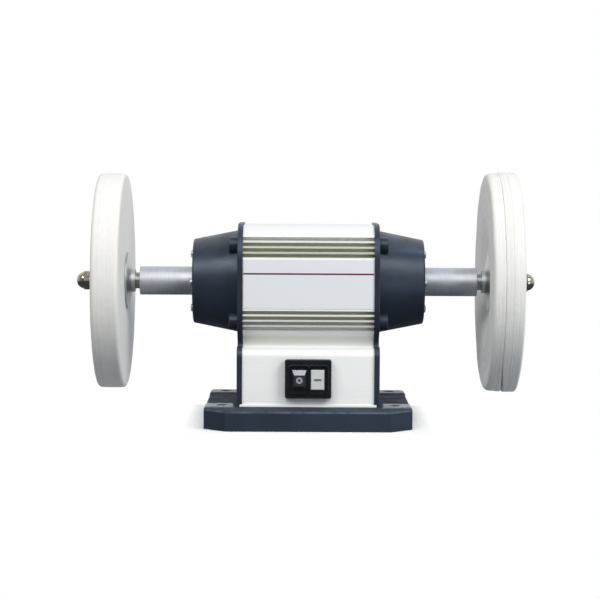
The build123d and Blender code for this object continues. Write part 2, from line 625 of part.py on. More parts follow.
# Motor
def slots(width, depth_gap):
    """Winding slots as a section, narrowed by a gap on each side."""
    depth = SLOT_DEPTH - 2 * depth_gap
    slot = Pos((SLOT_INNER_RADIUS + SLOT_OUTER_RADIUS) / 2, 0) * Rectangle(depth, width)
    return [Rot(0, 0, 360 * i / SLOT_COUNT) * slot for i in range(SLOT_COUNT)]


def stator_core():
    """Laminated stator with open winding slots."""
    section = Circle(STATOR_RADIUS) - Circle(STATOR_BORE_RADIUS)
    opening = Pos((STATOR_BORE_RADIUS + SLOT_INNER_RADIUS) / 2, 0) * Rectangle(2 * TOOTH_TIP, SLOT_OPENING)
    section -= [Rot(0, 0, 360 * i / SLOT_COUNT) * opening for i in range(SLOT_COUNT)]
    section -= slots(SLOT_WIDTH, 0)
    return prism(section, -STACK_END, STACK_END)


def stator_winding():
    """Coil sides in the slots, joined by the end turns on both sides of the stack."""
    start = STACK_END + COIL_GAP
    end = STACK_END + WINDING_OVERHANG
    head = ring(start, end, SLOT_INNER_RADIUS, SLOT_OUTER_RADIUS)
    head = fillet(head.edges().filter_by(GeomType.CIRCLE).group_by(Axis.X)[-1], WINDING_ROUND)
    sides = Sketch() + slots(SLOT_WIDTH - 2 * COIL_GAP, COIL_GAP)
    return prism(sides, -start, start) + head + mirror(head, about=Plane.YZ)


def rotor_core():
    """Laminated rotor, bored for the spindle and the cage bars."""
    section = Circle(ROTOR_RADIUS) - Circle(CORE_RADIUS + SEAT_GAP)
    section -= cage_bars(CAGE_BAR_DIAMETER / 2 + SEAT_GAP)
    return prism(section, -STACK_END, STACK_END)


def cage_bars(radius):
    """Bars of the rotor cage as a section."""
    place = Pos(ROTOR_RADIUS - CAGE_BAR_DEPTH - CAGE_BAR_DIAMETER / 2, 0)
    return [Rot(0, 0, 360 * i / CAGE_BAR_COUNT) * place * Circle(radius) for i in range(CAGE_BAR_COUNT)]


def rotor_cage():
    """Cast cage: bars through the rotor and a ring at each end."""
    outer = ROTOR_RADIUS - CAGE_BAR_DEPTH / 2
    end_ring = ring(STACK_END, STACK_END + CAGE_RING_LENGTH, outer - CAGE_RING_HEIGHT, outer)
    bars = prism(Sketch() + cage_bars(CAGE_BAR_DIAMETER / 2), -STACK_END, STACK_END)
    return bars + end_ring + mirror(end_ring, about=Plane.YZ)


# Spindle and its bearings
def wheel_ends():
    """Distance from the middle to the outer face of each wheel, where it is clamped."""
    return {"left": WHEEL_START + FELT_THICKNESS, "right": WHEEL_START + 2 * COTTON_CLAMPED}


def spindle_half(wheel_end):
    """Profile of one half of the spindle, from the middle outwards."""
    seat_end = wheel_end + FLANGE_LENGTH - SEAT_RELIEF
    tip = wheel_end + FLANGE_LENGTH + NUT_HEIGHT - NUT_CAP_WALL - NUT_TIP_GAP
    return turned(
        (0, 0), (0, CORE_RADIUS), (BEARING_START, CORE_RADIUS), (BEARING_START, JOURNAL_RADIUS),
        (STOP_FACE, JOURNAL_RADIUS), (STOP_FACE, NECK_RADIUS), (FLANGE_START, NECK_RADIUS),
        (FLANGE_START, SEAT_RADIUS), (seat_end, SEAT_RADIUS), (seat_end, THREAD_RADIUS),
        (tip - SPINDLE_CHAMFER, THREAD_RADIUS), (tip, THREAD_RADIUS - SPINDLE_CHAMFER), (tip, 0),
    )


def spindle_shaft():
    """Stepped spindle: rotor seat in the middle, then journals, necks, wheel seats and threads."""
    ends = wheel_ends()
    return spindle_half(ends["right"]) + side(spindle_half(ends["left"]), "left")


def race_groove():
    """Ring of round section that the balls run in."""
    centre = BEARING_START + BEARING_WIDTH / 2
    profile = Pos(centre, PITCH_RADIUS) * Circle(BALL_DIAMETER / 2 + BALL_GAP)
    return Pos(0, 0, AXIS_HEIGHT) * revolve(profile, Axis.X)


def bearing_outer_race():
    """Outer ring, seated in the shield."""
    outer = ring(BEARING_START, STOP_FACE, BEARING_RADIUS - RACE_THICKNESS, BEARING_RADIUS)
    return outer - race_groove()


def bearing_inner_race():
    """Inner ring, seated on the spindle's journal."""
    bore = JOURNAL_RADIUS + SEAT_GAP
    return ring(BEARING_START, STOP_FACE, bore, JOURNAL_RADIUS + RACE_THICKNESS) - race_groove()


def balls(radius):
    """Balls of one bearing."""
    centre = BEARING_START + BEARING_WIDTH / 2
    return around(Pos(centre, 0, AXIS_HEIGHT + PITCH_RADIUS) * Sphere(radius), BALL_COUNT)


def bearing_cage():
    """Ring that keeps the balls apart."""
    centre = BEARING_START + BEARING_WIDTH / 2
    half = CAGE_THICKNESS / 2
    plain = ring(centre - CAGE_FRONT, centre + CAGE_BACK, PITCH_RADIUS - half, PITCH_RADIUS + half)
    return plain - balls(BALL_DIAMETER / 2 + BALL_GAP)


# Sleeves
def spindle_sleeve():
    """Fixed tube round the spindle, with a flange let into the end of the shield."""
    flange_start = CONE_END - SLEEVE_FLANGE_THICKNESS
    seal_start = SLEEVE_END - SEAL_WIDTH
    sleeve = turned(
        (flange_start, SLEEVE_BORE_RADIUS), (flange_start, SLEEVE_FLANGE_RADIUS), (CONE_END, SLEEVE_FLANGE_RADIUS),
        (CONE_END, SLEEVE_RADIUS), (SLEEVE_END, SLEEVE_RADIUS), (SLEEVE_END, SEAL_RADIUS),
        (seal_start, SEAL_RADIUS), (seal_start, SLEEVE_BORE_RADIUS),
    )
    sleeve = fillet(sleeve.edges().group_by(Axis.X)[-1].sort_by(SortBy.RADIUS)[-1], SLEEVE_EDGE_RADIUS)
    radius = SLEEVE_SCREW_DIAMETER / 2 + THREAD_GAP
    hole = rod(radius, flange_start, CONE_END, 0, AXIS_HEIGHT + SLEEVE_SCREW_CIRCLE)
    return sleeve - around(hole, SLEEVE_SCREW_COUNT)


def sleeve_screws():
    """Pan-head screws that hold the sleeve's flange."""
    height = AXIS_HEIGHT + SLEEVE_SCREW_CIRCLE
    head = rod(SLEEVE_SCREW_HEAD_DIAMETER / 2, CONE_END, CONE_END + SLEEVE_SCREW_HEAD, 0, height)
    head = fillet(head.edges().sort_by(Axis.X)[-1], SLEEVE_SCREW_HEAD / 2)
    top = CONE_END + SLEEVE_SCREW_HEAD
    slot = Rectangle(SLEEVE_SCREW_CROSS, SLEEVE_SCREW_SLOT) + Rectangle(SLEEVE_SCREW_SLOT, SLEEVE_SCREW_CROSS)
    head -= prism(Pos(0, SLEEVE_SCREW_CIRCLE) * slot, top - SLEEVE_SCREW_SLOT_DEPTH, top)
    screw = head + rod(SLEEVE_SCREW_DIAMETER / 2, CONE_END - SLEEVE_SCREW_LENGTH, CONE_END, 0, height)
    return around(screw, SLEEVE_SCREW_COUNT)


def shaft_seal():
    """Rubber ring in the mouth of the sleeve."""
    start = SLEEVE_END - SEAL_WIDTH
    return ring(start, SLEEVE_END - SEAL_RECESS, NECK_RADIUS + RUN_GAP, SEAL_RADIUS - SEAT_GAP)


# Wheels and what clamps them
def wheel_flange(face, outwards):
    """Dished clamping flange whose rim bears on a wheel at x = face; its hub points outwards or inwards."""
    bore = SEAT_RADIUS + SEAT_GAP
    hub = SEAT_RADIUS + FLANGE_HUB_WALL
    rim = FLANGE_DIAMETER / 2
    depths = [
        (FLANGE_RELIEF, bore), (FLANGE_RELIEF, rim - FLANGE_RIM_WIDTH), (0, rim - FLANGE_RIM_WIDTH), (0, rim),
        (FLANGE_RIM, rim), (FLANGE_LENGTH - FLANGE_HUB_LENGTH, hub), (FLANGE_LENGTH, hub), (FLANGE_LENGTH, bore),
    ]
    return turned(*[(face + outwards * depth, radius) for depth, radius in depths])


def cap_nut(start):
    """Domed hexagon nut on the spindle's thread."""
    corner = NUT_ACROSS_FLATS / (2 * cos(radians(30)))
    flat = NUT_ACROSS_FLATS / 2
    chamfer = corner - flat
    bar_section = RegularPolygon(flat, 6, major_radius=False)
    body = prism(bar_section, start, start + NUT_HEX_HEIGHT)
    body &= turned(
        (start, 0), (start, flat), (start + chamfer / 2, corner), (start + NUT_HEX_HEIGHT - chamfer / 2, corner),
        (start + NUT_HEX_HEIGHT, flat), (start + NUT_HEX_HEIGHT, 0),
    )
    dome_height = NUT_HEIGHT - NUT_HEX_HEIGHT
    dome_foot = flat - chamfer / 2
    dome_radius = (dome_foot ** 2 + dome_height ** 2) / (2 * dome_height)
    centre = start + NUT_HEIGHT - dome_radius
    sweep = degrees(atan2(dome_foot, start + NUT_HEX_HEIGHT - centre))
    dome_line = [
        Line((start + NUT_HEX_HEIGHT, 0), (start + NUT_HEX_HEIGHT, dome_foot)),
        CenterArc((centre, 0), dome_radius, 0, sweep),
        Line((start + NUT_HEIGHT, 0), (start + NUT_HEX_HEIGHT, 0)),
    ]
    body += Pos(0, 0, AXIS_HEIGHT) * revolve(make_face(dome_line), Axis.X)
    return body - rod(THREAD_RADIUS + THREAD_GAP, start, start + NUT_HEIGHT - NUT_CAP_WALL)


def felt_wheel():
    """Solid felt wheel, made for the right end and mirrored to the left."""
    bore = SEAT_RADIUS + THREAD_GAP
    wheel = ring(WHEEL_START, WHEEL_START + FELT_THICKNESS, bore, FELT_DIAMETER / 2)
    rim = wheel.edges().filter_by(GeomType.CIRCLE).group_by(SortBy.RADIUS)[-1]
    return fillet(rim, FELT_EDGE_RADIUS)


def cotton_section(start, swell_in, swell_out, diameter, edge_in, edge_out):
    """Sewn cotton section: pinched between the flanges, swollen towards its rim."""
    bore = SEAT_RADIUS + THREAD_GAP
    rim = diameter / 2
    pinched = FLANGE_DIAMETER / 2 + COTTON_FLANGE_MARGIN
    full = pinched + COTTON_SWELL_RISE
    end = start + COTTON_CLAMPED
    points = [
        (start, bore), (start, pinched), (start - swell_in, full), (start - swell_in, rim),
        (end + swell_out, rim), (end + swell_out, full), (end, pinched), (end, bore),
    ]
    profile = make_face(FilletPolyline(*points, radius=[0, 0, 0, edge_in, edge_out, 0, 0, 0], close=True))
    return Pos(0, 0, AXIS_HEIGHT) * revolve(profile, Axis.X)


def cotton_sections():
    """The two sections of the cotton wheel, inner one first."""
    middle = WHEEL_START + COTTON_CLAMPED
    inner_diameter = COTTON_DIAMETER - 2 * COTTON_TRIM
    swell = COTTON_SWELL_MIDDLE
    edges = [COTTON_EDGE_RADIUS, COTTON_MIDDLE_RADIUS]
    inner = cotton_section(WHEEL_START, COTTON_SWELL_IN, swell - PLY_GAP, inner_diameter, *edges)
    return inner, cotton_section(middle, -swell, COTTON_SWELL_OUT, COTTON_DIAMETER, *reversed(edges))


# Switch
def switch_frame():
    """Black frame on the panel, with a window for each button in a shallow well."""
    front = -PEDESTAL_HALF - SWITCH_PROUD
    x, z = SWITCH_WIDTH / 2, SWITCH_HEIGHT / 2
    frame = block(-x, x, front, -PEDESTAL_HALF, SWITCH_Z - z, SWITCH_Z + z)
    frame = fillet(frame.edges().filter_by(Axis.Y), SWITCH_EDGE_RADIUS)
    frame = fillet(frame.edges().group_by(Axis.Y)[0], SWITCH_FACE_RADIUS)
    bar_x = STOP_X + (STOP_WIDTH + BUTTON_BAR) / 2
    x, z = x - WELL_BORDER_X, z - WELL_BORDER_Z
    spans = [(-x, bar_x - WELL_BAR / 2), (bar_x + WELL_BAR / 2, x)]
    rim_front = front - WELL_RIM_PROUD
    for start, end in spans:
        z0, z1 = BUTTON_Z - z - WELL_RIM, BUTTON_Z + z + WELL_RIM
        rim = block(start - WELL_RIM, end + WELL_RIM, rim_front, front, z0, z1)
        rim = fillet(rim.edges().filter_by(Axis.Y), WELL_RADIUS + WELL_RIM)
        frame += fillet(rim.edges().group_by(Axis.Y)[0], WELL_RIM_RADIUS)
    for start, end in spans:
        well = block(start, end, rim_front, front + WELL_DEPTH, BUTTON_Z - z, BUTTON_Z + z)
        frame -= fillet(well.edges().filter_by(Axis.Y), WELL_RADIUS)
    for centre, width, height in ((STOP_X, STOP_WIDTH, STOP_HEIGHT), (START_X, START_WIDTH, START_HEIGHT)):
        frame -= button_space(centre, width, height, RUN_GAP, front, -PEDESTAL_HALF)
    return frame


def button_space(centre, width, height, margin, front, back):
    """A block round a button, wider by a margin on each side."""
    x, z = width / 2 + margin, height / 2 + margin
    return block(centre - x, centre + x, front, back, BUTTON_Z - z, BUTTON_Z + z)


def switch_body():
    """Contact block behind the panel, with a well for each button's foot."""
    x, z = SWITCH_BODY_WIDTH / 2, SWITCH_BODY_HEIGHT / 2
    back = -PEDESTAL_HALF + SWITCH_BODY_DEPTH
    body = block(-x, x, -PEDESTAL_HALF, back, SWITCH_Z - z, SWITCH_Z + z)
    well = -PEDESTAL_HALF + RUN_GAP + BUTTON_FLANGE_THICKNESS + BUTTON_TRAVEL + RUN_GAP
    margin = BUTTON_FLANGE + RUN_GAP
    body -= button_space(STOP_X, STOP_WIDTH, STOP_HEIGHT, margin, -PEDESTAL_HALF, well)
    body -= button_space(START_X, START_WIDTH, START_HEIGHT, margin, -PEDESTAL_HALF, well)
    return body


def switch_terminals():
    """Four blade terminals on the back of the contact block."""
    back = -PEDESTAL_HALF + SWITCH_BODY_DEPTH
    blades = []
    for sx, sz in CORNERS:
        x = sx * TERMINAL_SPACING_X / 2
        z = SWITCH_Z + sz * TERMINAL_SPACING_Z / 2
        half = TERMINAL_WIDTH / 2
        blades.append(block(x - half, x + half, back, back + TERMINAL_LENGTH, z, z + TERMINAL_THICKNESS))
    return blades


def button_foot(centre, width, height):
    """Flange at the back of a button that keeps it behind the frame."""
    foot = -PEDESTAL_HALF + RUN_GAP
    return button_space(centre, width, height, BUTTON_FLANGE, foot, foot + BUTTON_FLANGE_THICKNESS)


def start_button():
    """Flat start button, a little behind the frame's face."""
    front = -PEDESTAL_HALF - SWITCH_PROUD + BUTTON_SUNK
    body = button_space(START_X, START_WIDTH, START_HEIGHT, 0, front, -PEDESTAL_HALF + RUN_GAP)
    body = fillet(body.edges().group_by(Axis.Y)[0], BUTTON_EDGE_RADIUS)
    return body + button_foot(START_X, START_WIDTH, START_HEIGHT)


def stop_button():
    """Raised stop button with four sloping sides, the top one the longest."""
    slope = -PEDESTAL_HALF - SWITCH_PROUD - BUTTON_PROUD + STOP_SLOPE_DEPTH
    body = button_space(STOP_X, STOP_WIDTH, STOP_HEIGHT, 0, slope, -PEDESTAL_HALF + RUN_GAP)
    plane = Plane(origin=(STOP_X, slope, BUTTON_Z), x_dir=(1, 0, 0), z_dir=(0, -1, 0))
    flat_width = STOP_WIDTH - 2 * STOP_SLOPE_SIDE
    flat_height = STOP_HEIGHT - STOP_SLOPE_TOP - STOP_SLOPE_BOTTOM
    flat = Pos(0, (STOP_SLOPE_BOTTOM - STOP_SLOPE_TOP) / 2) * Rectangle(flat_width, flat_height)
    body += loft([plane * Rectangle(STOP_WIDTH, STOP_HEIGHT), plane.offset(STOP_SLOPE_DEPTH) * flat])
    return body + button_foot(STOP_X, STOP_WIDTH, STOP_HEIGHT)


# Inside the pedestal, and the rear panel
def run_capacitor():
    """Round motor capacitor lying along the rear of the pedestal."""
    half = CAPACITOR_LENGTH / 2
    start, end = CAPACITOR_OFFSET_X - half, CAPACITOR_OFFSET_X + half
    can = rod(CAPACITOR_RADIUS, start, end, CAPACITOR_Y, CAPACITOR_Z)
    return fillet(can.edges().filter_by(GeomType.CIRCLE), CAPACITOR_RIM_RADIUS)


def capacitor_clip():
    """Strap round the capacitor, on a foot that stands on the base."""
    half = CLIP_WIDTH / 2
    start, end = CAPACITOR_OFFSET_X - half, CAPACITOR_OFFSET_X + half
    inner = CAPACITOR_RADIUS + SEAT_GAP
    strap = rod(inner + CLIP_THICKNESS, start, end, CAPACITOR_Y, CAPACITOR_Z)
    foot_y0, foot_y1 = CAPACITOR_Y - CLIP_FOOT_WIDTH / 2, CAPACITOR_Y + CLIP_FOOT_WIDTH / 2
    strap += block(start, end, foot_y0, foot_y1, BASE_HEIGHT, CAPACITOR_Z - CAPACITOR_RADIUS / 2)
    return strap - rod(inner, start, end, CAPACITOR_Y, CAPACITOR_Z)


def cable_gland_body():
    """Gland body: hexagon outside the rear panel, threaded stem through it."""
    inner = PEDESTAL_HALF + GLAND_HEX_LENGTH - GLAND_THREAD_LENGTH - PANEL_WALL
    body = hexagon_y(GLAND_HEX, PEDESTAL_HALF, PEDESTAL_HALF + GLAND_HEX_LENGTH, GLAND_X, GLAND_Z)
    body += lathe_y(GLAND_X, GLAND_Z, *bar(inner, PEDESTAL_HALF, GLAND_THREAD_DIAMETER / 2))
    return body - lathe_y(GLAND_X, GLAND_Z, *bar(inner, PEDESTAL_HALF + GLAND_HEX_LENGTH, GLAND_BORE / 2))


def cable_gland_cap():
    """Domed clamping cap of the gland."""
    start = PEDESTAL_HALF + GLAND_HEX_LENGTH
    cap = lathe_y(GLAND_X, GLAND_Z, *bar(start, start + GLAND_CAP_LENGTH, GLAND_CAP_DIAMETER / 2))
    cap = fillet(cap.edges().filter_by(GeomType.CIRCLE).sort_by(Axis.Y)[-1], GLAND_CAP_ROUND)
    return cap - lathe_y(GLAND_X, GLAND_Z, *bar(start, start + GLAND_CAP_LENGTH, GLAND_CAP_MOUTH / 2))


def cable_gland_seal():
    """Closed rubber insert in the mouth of the gland."""
    start = PEDESTAL_HALF + GLAND_HEX_LENGTH
    return lathe_y(GLAND_X, GLAND_Z, *bar(start, start + GLAND_SEAL_LENGTH, GLAND_CAP_MOUTH / 2 - SEAT_GAP))


def cable_gland_locknut():
    """Nut that clamps the gland from inside the panel."""
    end = PEDESTAL_HALF - PANEL_WALL
    nut = hexagon_y(LOCKNUT_HEX, end - LOCKNUT_LENGTH, end, GLAND_X, GLAND_Z)
    hole = bar(end - LOCKNUT_LENGTH, end, GLAND_THREAD_DIAMETER / 2 + THREAD_GAP)
    return nut - lathe_y(GLAND_X, GLAND_Z, *hole)


os.makedirs("parts", exist_ok=True)

write("base_casting", base_casting())
write("base_cover", base_cover())
write("base_cover_screws", base_cover_screws())
write("pedestal_screws", pedestal_screws())
write("motor_housing", motor_housing())
write("front_label", front_label())
write("tie_bolts", tie_bolts())
write("tie_bolt_nuts", tie_bolt_nuts())
write("stator_core", stator_core())
write("stator_winding", stator_winding())
write("rotor_core", rotor_core())
write("rotor_cage", rotor_cage())
write("spindle_shaft", spindle_shaft())

for hand in ("left", "right"):
    wheel_end = wheel_ends()[hand]
    write(f"{hand}_end_shield", side(end_shield(), hand))
    write(f"{hand}_spindle_sleeve", side(spindle_sleeve(), hand))
    write(f"{hand}_sleeve_screws", [side(screw, hand) for screw in sleeve_screws()])
    write(f"{hand}_shaft_seal", side(shaft_seal(), hand))
    write(f"{hand}_bearing_outer_race", side(bearing_outer_race(), hand))
    write(f"{hand}_bearing_inner_race", side(bearing_inner_race(), hand))
    write(f"{hand}_bearing_cage", side(bearing_cage(), hand))
    write(f"{hand}_bearing_balls", [side(ball, hand) for ball in balls(BALL_DIAMETER / 2)])
    write(f"{hand}_inner_flange", side(wheel_flange(WHEEL_START, -1), hand))
    write(f"{hand}_outer_flange", side(wheel_flange(wheel_end, 1), hand))
    write(f"{hand}_cap_nut", side(cap_nut(wheel_end + FLANGE_LENGTH), hand))

write("felt_wheel", side(felt_wheel(), "left"))
cotton_inner, cotton_outer = cotton_sections()
write("cotton_wheel_inner", cotton_inner)
write("cotton_wheel_outer", cotton_outer)

write("switch_frame", switch_frame())
write("switch_body", switch_body())
write("switch_terminals", switch_terminals())
write("start_button", start_button())
write("stop_button", stop_button())
write("run_capacitor", run_capacitor())
write("capacitor_clip", capacitor_clip())
write("cable_gland_body", cable_gland_body())
write("cable_gland_cap", cable_gland_cap())
write("cable_gland_seal", cable_gland_seal())
write("cable_gland_locknut", cable_gland_locknut())
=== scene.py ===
"""Looks of a bench polishing machine: dressed castings and housing, a felt wheel and a sewn cotton wheel.

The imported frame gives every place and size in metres, with +X along the spindle, +Y to the back and +Z up.
Finishes are node materials on Object coordinates, and the new pieces are modelled with Blender's operators.
"""

import json
import logging
from abc import ABC, abstractmethod
from collections.abc import Callable, Sequence
from dataclasses import dataclass
from enum import Enum
from math import cos, pi, radians, sin, sqrt
from random import Random

import bpy
from mathutils import Matrix, Vector


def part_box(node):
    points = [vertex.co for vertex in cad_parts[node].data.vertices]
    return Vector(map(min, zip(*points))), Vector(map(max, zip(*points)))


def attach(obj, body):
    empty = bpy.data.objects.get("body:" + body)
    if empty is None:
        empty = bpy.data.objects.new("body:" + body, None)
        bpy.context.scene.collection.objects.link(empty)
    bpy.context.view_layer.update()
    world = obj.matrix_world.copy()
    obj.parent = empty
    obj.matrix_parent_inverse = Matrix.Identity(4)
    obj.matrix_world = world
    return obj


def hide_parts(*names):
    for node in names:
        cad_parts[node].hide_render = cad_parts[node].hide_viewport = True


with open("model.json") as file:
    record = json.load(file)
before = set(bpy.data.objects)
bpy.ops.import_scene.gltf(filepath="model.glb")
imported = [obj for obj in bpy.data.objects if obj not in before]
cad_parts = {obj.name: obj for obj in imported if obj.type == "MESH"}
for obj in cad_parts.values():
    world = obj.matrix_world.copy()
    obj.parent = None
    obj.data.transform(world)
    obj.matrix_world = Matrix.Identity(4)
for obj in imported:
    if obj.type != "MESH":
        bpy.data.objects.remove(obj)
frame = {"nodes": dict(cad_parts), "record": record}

log = logging.getLogger("polishing_machine")

Triple = tuple[float, float, float]
Colour = Triple
Range = tuple[float, float]
Line = list[tuple[float, float]]
Socket = bpy.types.NodeSocket

MM = 0.001
WHITE: Colour = (1, 1, 1)

# Distances under which two points are the same, for a drawn line and for a turned solid
SAME_POINT = MM / 1000
DOUBLES = MM / 500

# Middle parts of a noise's range, where most of its values lie
WIDE: Range = (0.3, 0.7)
NARROW: Range = (0.35, 0.65)

# Sockets for colours on a mix node
MIX_INPUTS = (6, 7)
MIX_OUTPUT = 2

# Share of a height above which an edge counts as its top
NEARLY = 0.9


class Side(Enum):
    """End of the spindle."""

    LEFT = -1
    RIGHT = 1


class Axis(Enum):
    """Axis of the frame."""

    X = "X"
    Y = "Y"
    Z = "Z"


class Coordinates(Enum):
    """What a node graph's patterns are laid out on."""

    OBJECT = "Object"
    VIEW = "Generated"


class Operation(Enum):
    """What a math node does."""

    ABSOLUTE = "ABSOLUTE"
    ADD = "ADD"
    MAXIMUM = "MAXIMUM"
    MINIMUM = "MINIMUM"
    MULTIPLY = "MULTIPLY"
    ROOT = "SQRT"
    SUBTRACT = "SUBTRACT"


class Element(Enum):
    """Part of a mesh that is picked."""

    VERTEX = "VERT"
    EDGE = "EDGE"


class Push(Enum):
    """Way that ruffles move a surface."""

    OUT = "NORMAL"
    SIDEWAYS = "X"


class Body(Enum):
    """Bodies of the frame that new pieces ride on."""

    FRAME = "frame"
    SPINDLE = "spindle"
    START = "start_button"
    STOP = "stop_button"


def spindle_height() -> float:
    """Height of the spindle's axis above the bench."""
    joints = frame["record"]["behaviour"]["joints"]
    return next(joint["pos_m"][2] for joint in joints if joint["name"] == "spindle_spin")


AXIS_Z = spindle_height()


def tint(colour: Colour, factor: float) -> Colour:
    """A colour made lighter or darker by a factor."""
    red, green, blue = colour
    return (red * factor, green * factor, blue * factor)


# Node graphs
class Graph:
    """Nodes of one material or of the surroundings, added step by step."""

    def __init__(self, tree: bpy.types.NodeTree, coordinates: Coordinates) -> None:
        """Start from a tree and one kind of coordinates.

        Args:
            tree: Where the nodes go.
            coordinates: What its patterns are laid out on.
        """
        self.tree = tree
        self.shader = tree.nodes.get("Principled BSDF")
        self.place: Socket = self.add("ShaderNodeTexCoord").outputs[coordinates.value]

    @classmethod
    def of_material(cls, material: bpy.types.Material) -> "Graph":
        """Nodes of a material, on Object coordinates."""
        material.use_nodes = True
        return cls(material.node_tree, Coordinates.OBJECT)

    @classmethod
    def of_world(cls, world: bpy.types.World) -> "Graph":
        """Nodes of the surroundings, on the direction of view."""
        world.use_nodes = True
        return cls(world.node_tree, Coordinates.VIEW)

    def add(self, kind: str, **settings: object) -> bpy.types.Node:
        """Add a node and set its properties.

        Args:
            kind: Blender's node type.
            settings: Properties of the node by name.

        Returns:
            The new node.
        """
        node = self.tree.nodes.new(kind)
        for key, value in settings.items():
            setattr(node, key, value)
        return node

    def feed(self, target: Socket, value: object) -> None:
        """Link a socket to an input, or write a plain value on it.

        Args:
            target: The input.
            value: A socket, or the value itself.
        """
        if isinstance(value, Socket):
            self.tree.links.new(value, target)
        else:
            target.default_value = value

    def set(self, **values: object) -> None:
        """Feed inputs of the shader, named with underscores for spaces."""
        for key, value in values.items():
            self.feed(self.shader.inputs[key.replace("_", " ")], value)

    def fed(self, name: str) -> Socket:
        """Socket that feeds an input of the shader so far."""
        return self.shader.inputs[name].links[0].from_socket

    def mapped(self, scale: Sequence[float], turn: Sequence[float] = (0, 0, 0)) -> Socket:
        """Object coordinates, stretched and turned.

        Args:
            scale: Factor along each axis.
            turn: Rotation in radians.

        Returns:
            The vector to give a texture.
        """
        node = self.add("ShaderNodeMapping")
        self.feed(node.inputs["Vector"], self.place)
        node.inputs["Rotation"].default_value = turn
        node.inputs["Scale"].default_value = scale
        return node.outputs["Vector"]

    def noise(self, scale: float, detail: float = 3, vector: Socket | None = None, blur: float = 0.5) -> Socket:
        """Cloudy noise between 0 and 1.

        Args:
            scale: Size of the pattern, per metre.
            detail: Number of finer layers.
            vector: Coordinates, or none for plain Object coordinates.
            blur: Weight of the finer layers.

        Returns:
            The noise value.
        """
        node = self.add("ShaderNodeTexNoise")
        self.feed(node.inputs["Vector"], vector or self.place)
        node.inputs["Scale"].default_value = scale
        node.inputs["Detail"].default_value = detail
        node.inputs["Roughness"].default_value = blur
        return node.outputs["Fac"]

    def bands(self, axis: Axis, scale: float, wobble: float = 0) -> Socket:
        """Smooth stripes across one axis.

        Args:
            axis: The axis.
            scale: Pattern scale; a stripe repeats every pi / (10 * scale) metres.
            wobble: How far noise bends the stripes.

        Returns:
            The stripe value, 0 to 1.
        """
        node = self.add("ShaderNodeTexWave", wave_type="BANDS", bands_direction=axis.value)
        self.feed(node.inputs["Vector"], self.place)
        node.inputs["Scale"].default_value = scale
        node.inputs["Distortion"].default_value = wobble
        node.inputs["Detail"].default_value = 2
        return node.outputs["Fac"]

    def axis(self, name: Axis) -> Socket:
        """One coordinate.

        Args:
            name: Which one.

        Returns:
            Its value.
        """
        node = self.add("ShaderNodeSeparateXYZ")
        self.feed(node.inputs[0], self.place)
        return node.outputs[name.value]

    def upward(self) -> Socket:
        """How far a surface faces up.

        Returns:
            -1 for down to 1 for up.
        """
        node = self.add("ShaderNodeSeparateXYZ")
        self.feed(node.inputs[0], self.add("ShaderNodeNewGeometry").outputs["Normal"])
        return node.outputs["Z"]

    def math(self, operation: Operation, first: object, second: object = 0.0) -> Socket:
        """Result of a math node.

        Args:
            operation: What the node does.
            first: A socket or a number.
            second: Another one, where the operation takes two.

        Returns:
            The result.
        """
        node = self.add("ShaderNodeMath", operation=operation.value)
        self.feed(node.inputs[0], first)
        self.feed(node.inputs[1], second)
        return node.outputs[0]

    def times(self, first: object, *others: object) -> Socket:
        """Product of two or more values.

        Args:
            first: A socket or a number.
            others: What it is multiplied by.

        Returns:
            The product.
        """
        for other in others:
            first = self.math(Operation.MULTIPLY, first, other)
        return first

    def weighted(self, *parts: tuple[Socket, float]) -> Socket:
        """Sum of values, each times its weight.

        Args:
            parts: Values with their weights.

        Returns:
            The sum.
        """
        total, *others = [self.times(value, weight) for value, weight in parts]
        for other in others:
            total = self.math(Operation.ADD, total, other)
        return total

    def span(self, value: Socket, low: float, high: float, start: float = 0, end: float = 1) -> Socket:
        """Stretch a value from low..high to start..end, and stop there.

        Args:
            value: The value.
            low: Where the stretch begins.
            high: Where it ends.
            start: Result at and below low.
            end: Result at and above high.

        Returns:
            The stretched value.
        """
        node = self.add("ShaderNodeMapRange", clamp=True)
        self.feed(node.inputs["Value"], value)
        for name, number in (("From Min", low), ("From Max", high), ("To Min", start), ("To Max", end)):
            node.inputs[name].default_value = number
        return node.outputs["Result"]

    def inside(self, value: Socket, low: float, high: float, soft: float) -> Socket:
        """1 where a value lies between two limits, with soft ends."""
        rise = self.span(value, low - soft, low + soft)
        return self.times(rise, self.span(value, high - soft, high + soft, 1, 0))

    def vary(self, value: Socket, level: float, change: Range) -> Socket:
        """A level that noise lowers and raises a little."""
        return self.span(value, *WIDE, level + change[0], level + change[1])

    def shade(self, value: Socket, dark: Colour, light: Colour) -> Socket:
        """Colour between two, chosen by a value.

        Args:
            value: The value, 0 to 1.
            dark: Colour at 0.
            light: Colour at 1.

        Returns:
            The colour.
        """
        node = self.add("ShaderNodeValToRGB")
        self.feed(node.inputs["Fac"], value)
        node.color_ramp.elements[0].color = (*dark, 1)
        node.color_ramp.elements[1].color = (*light, 1)
        return node.outputs["Color"]

    def mottle(self, value: Socket, colour: Colour, tones: Range, spread: Range = WIDE) -> Socket:
        """A colour that noise makes darker and lighter, between two factors."""
        dark, light = tones
        return self.shade(self.span(value, *spread), tint(colour, dark), tint(colour, light))

    def blend(self, share: Socket, first: Socket | Colour, second: Socket | Colour) -> Socket:
        """Mix of two colours.

        Args:
            share: Share of the second colour.
            first: A socket or a plain colour.
            second: Another one.

        Returns:
            The mixed colour.
        """
        node = self.add("ShaderNodeMix", data_type="RGBA")
        self.feed(node.inputs["Factor"], share)
        for place, colour in zip(MIX_INPUTS, (first, second)):
            self.feed(node.inputs[place], colour if isinstance(colour, Socket) else (*colour, 1))
        return node.outputs[MIX_OUTPUT]

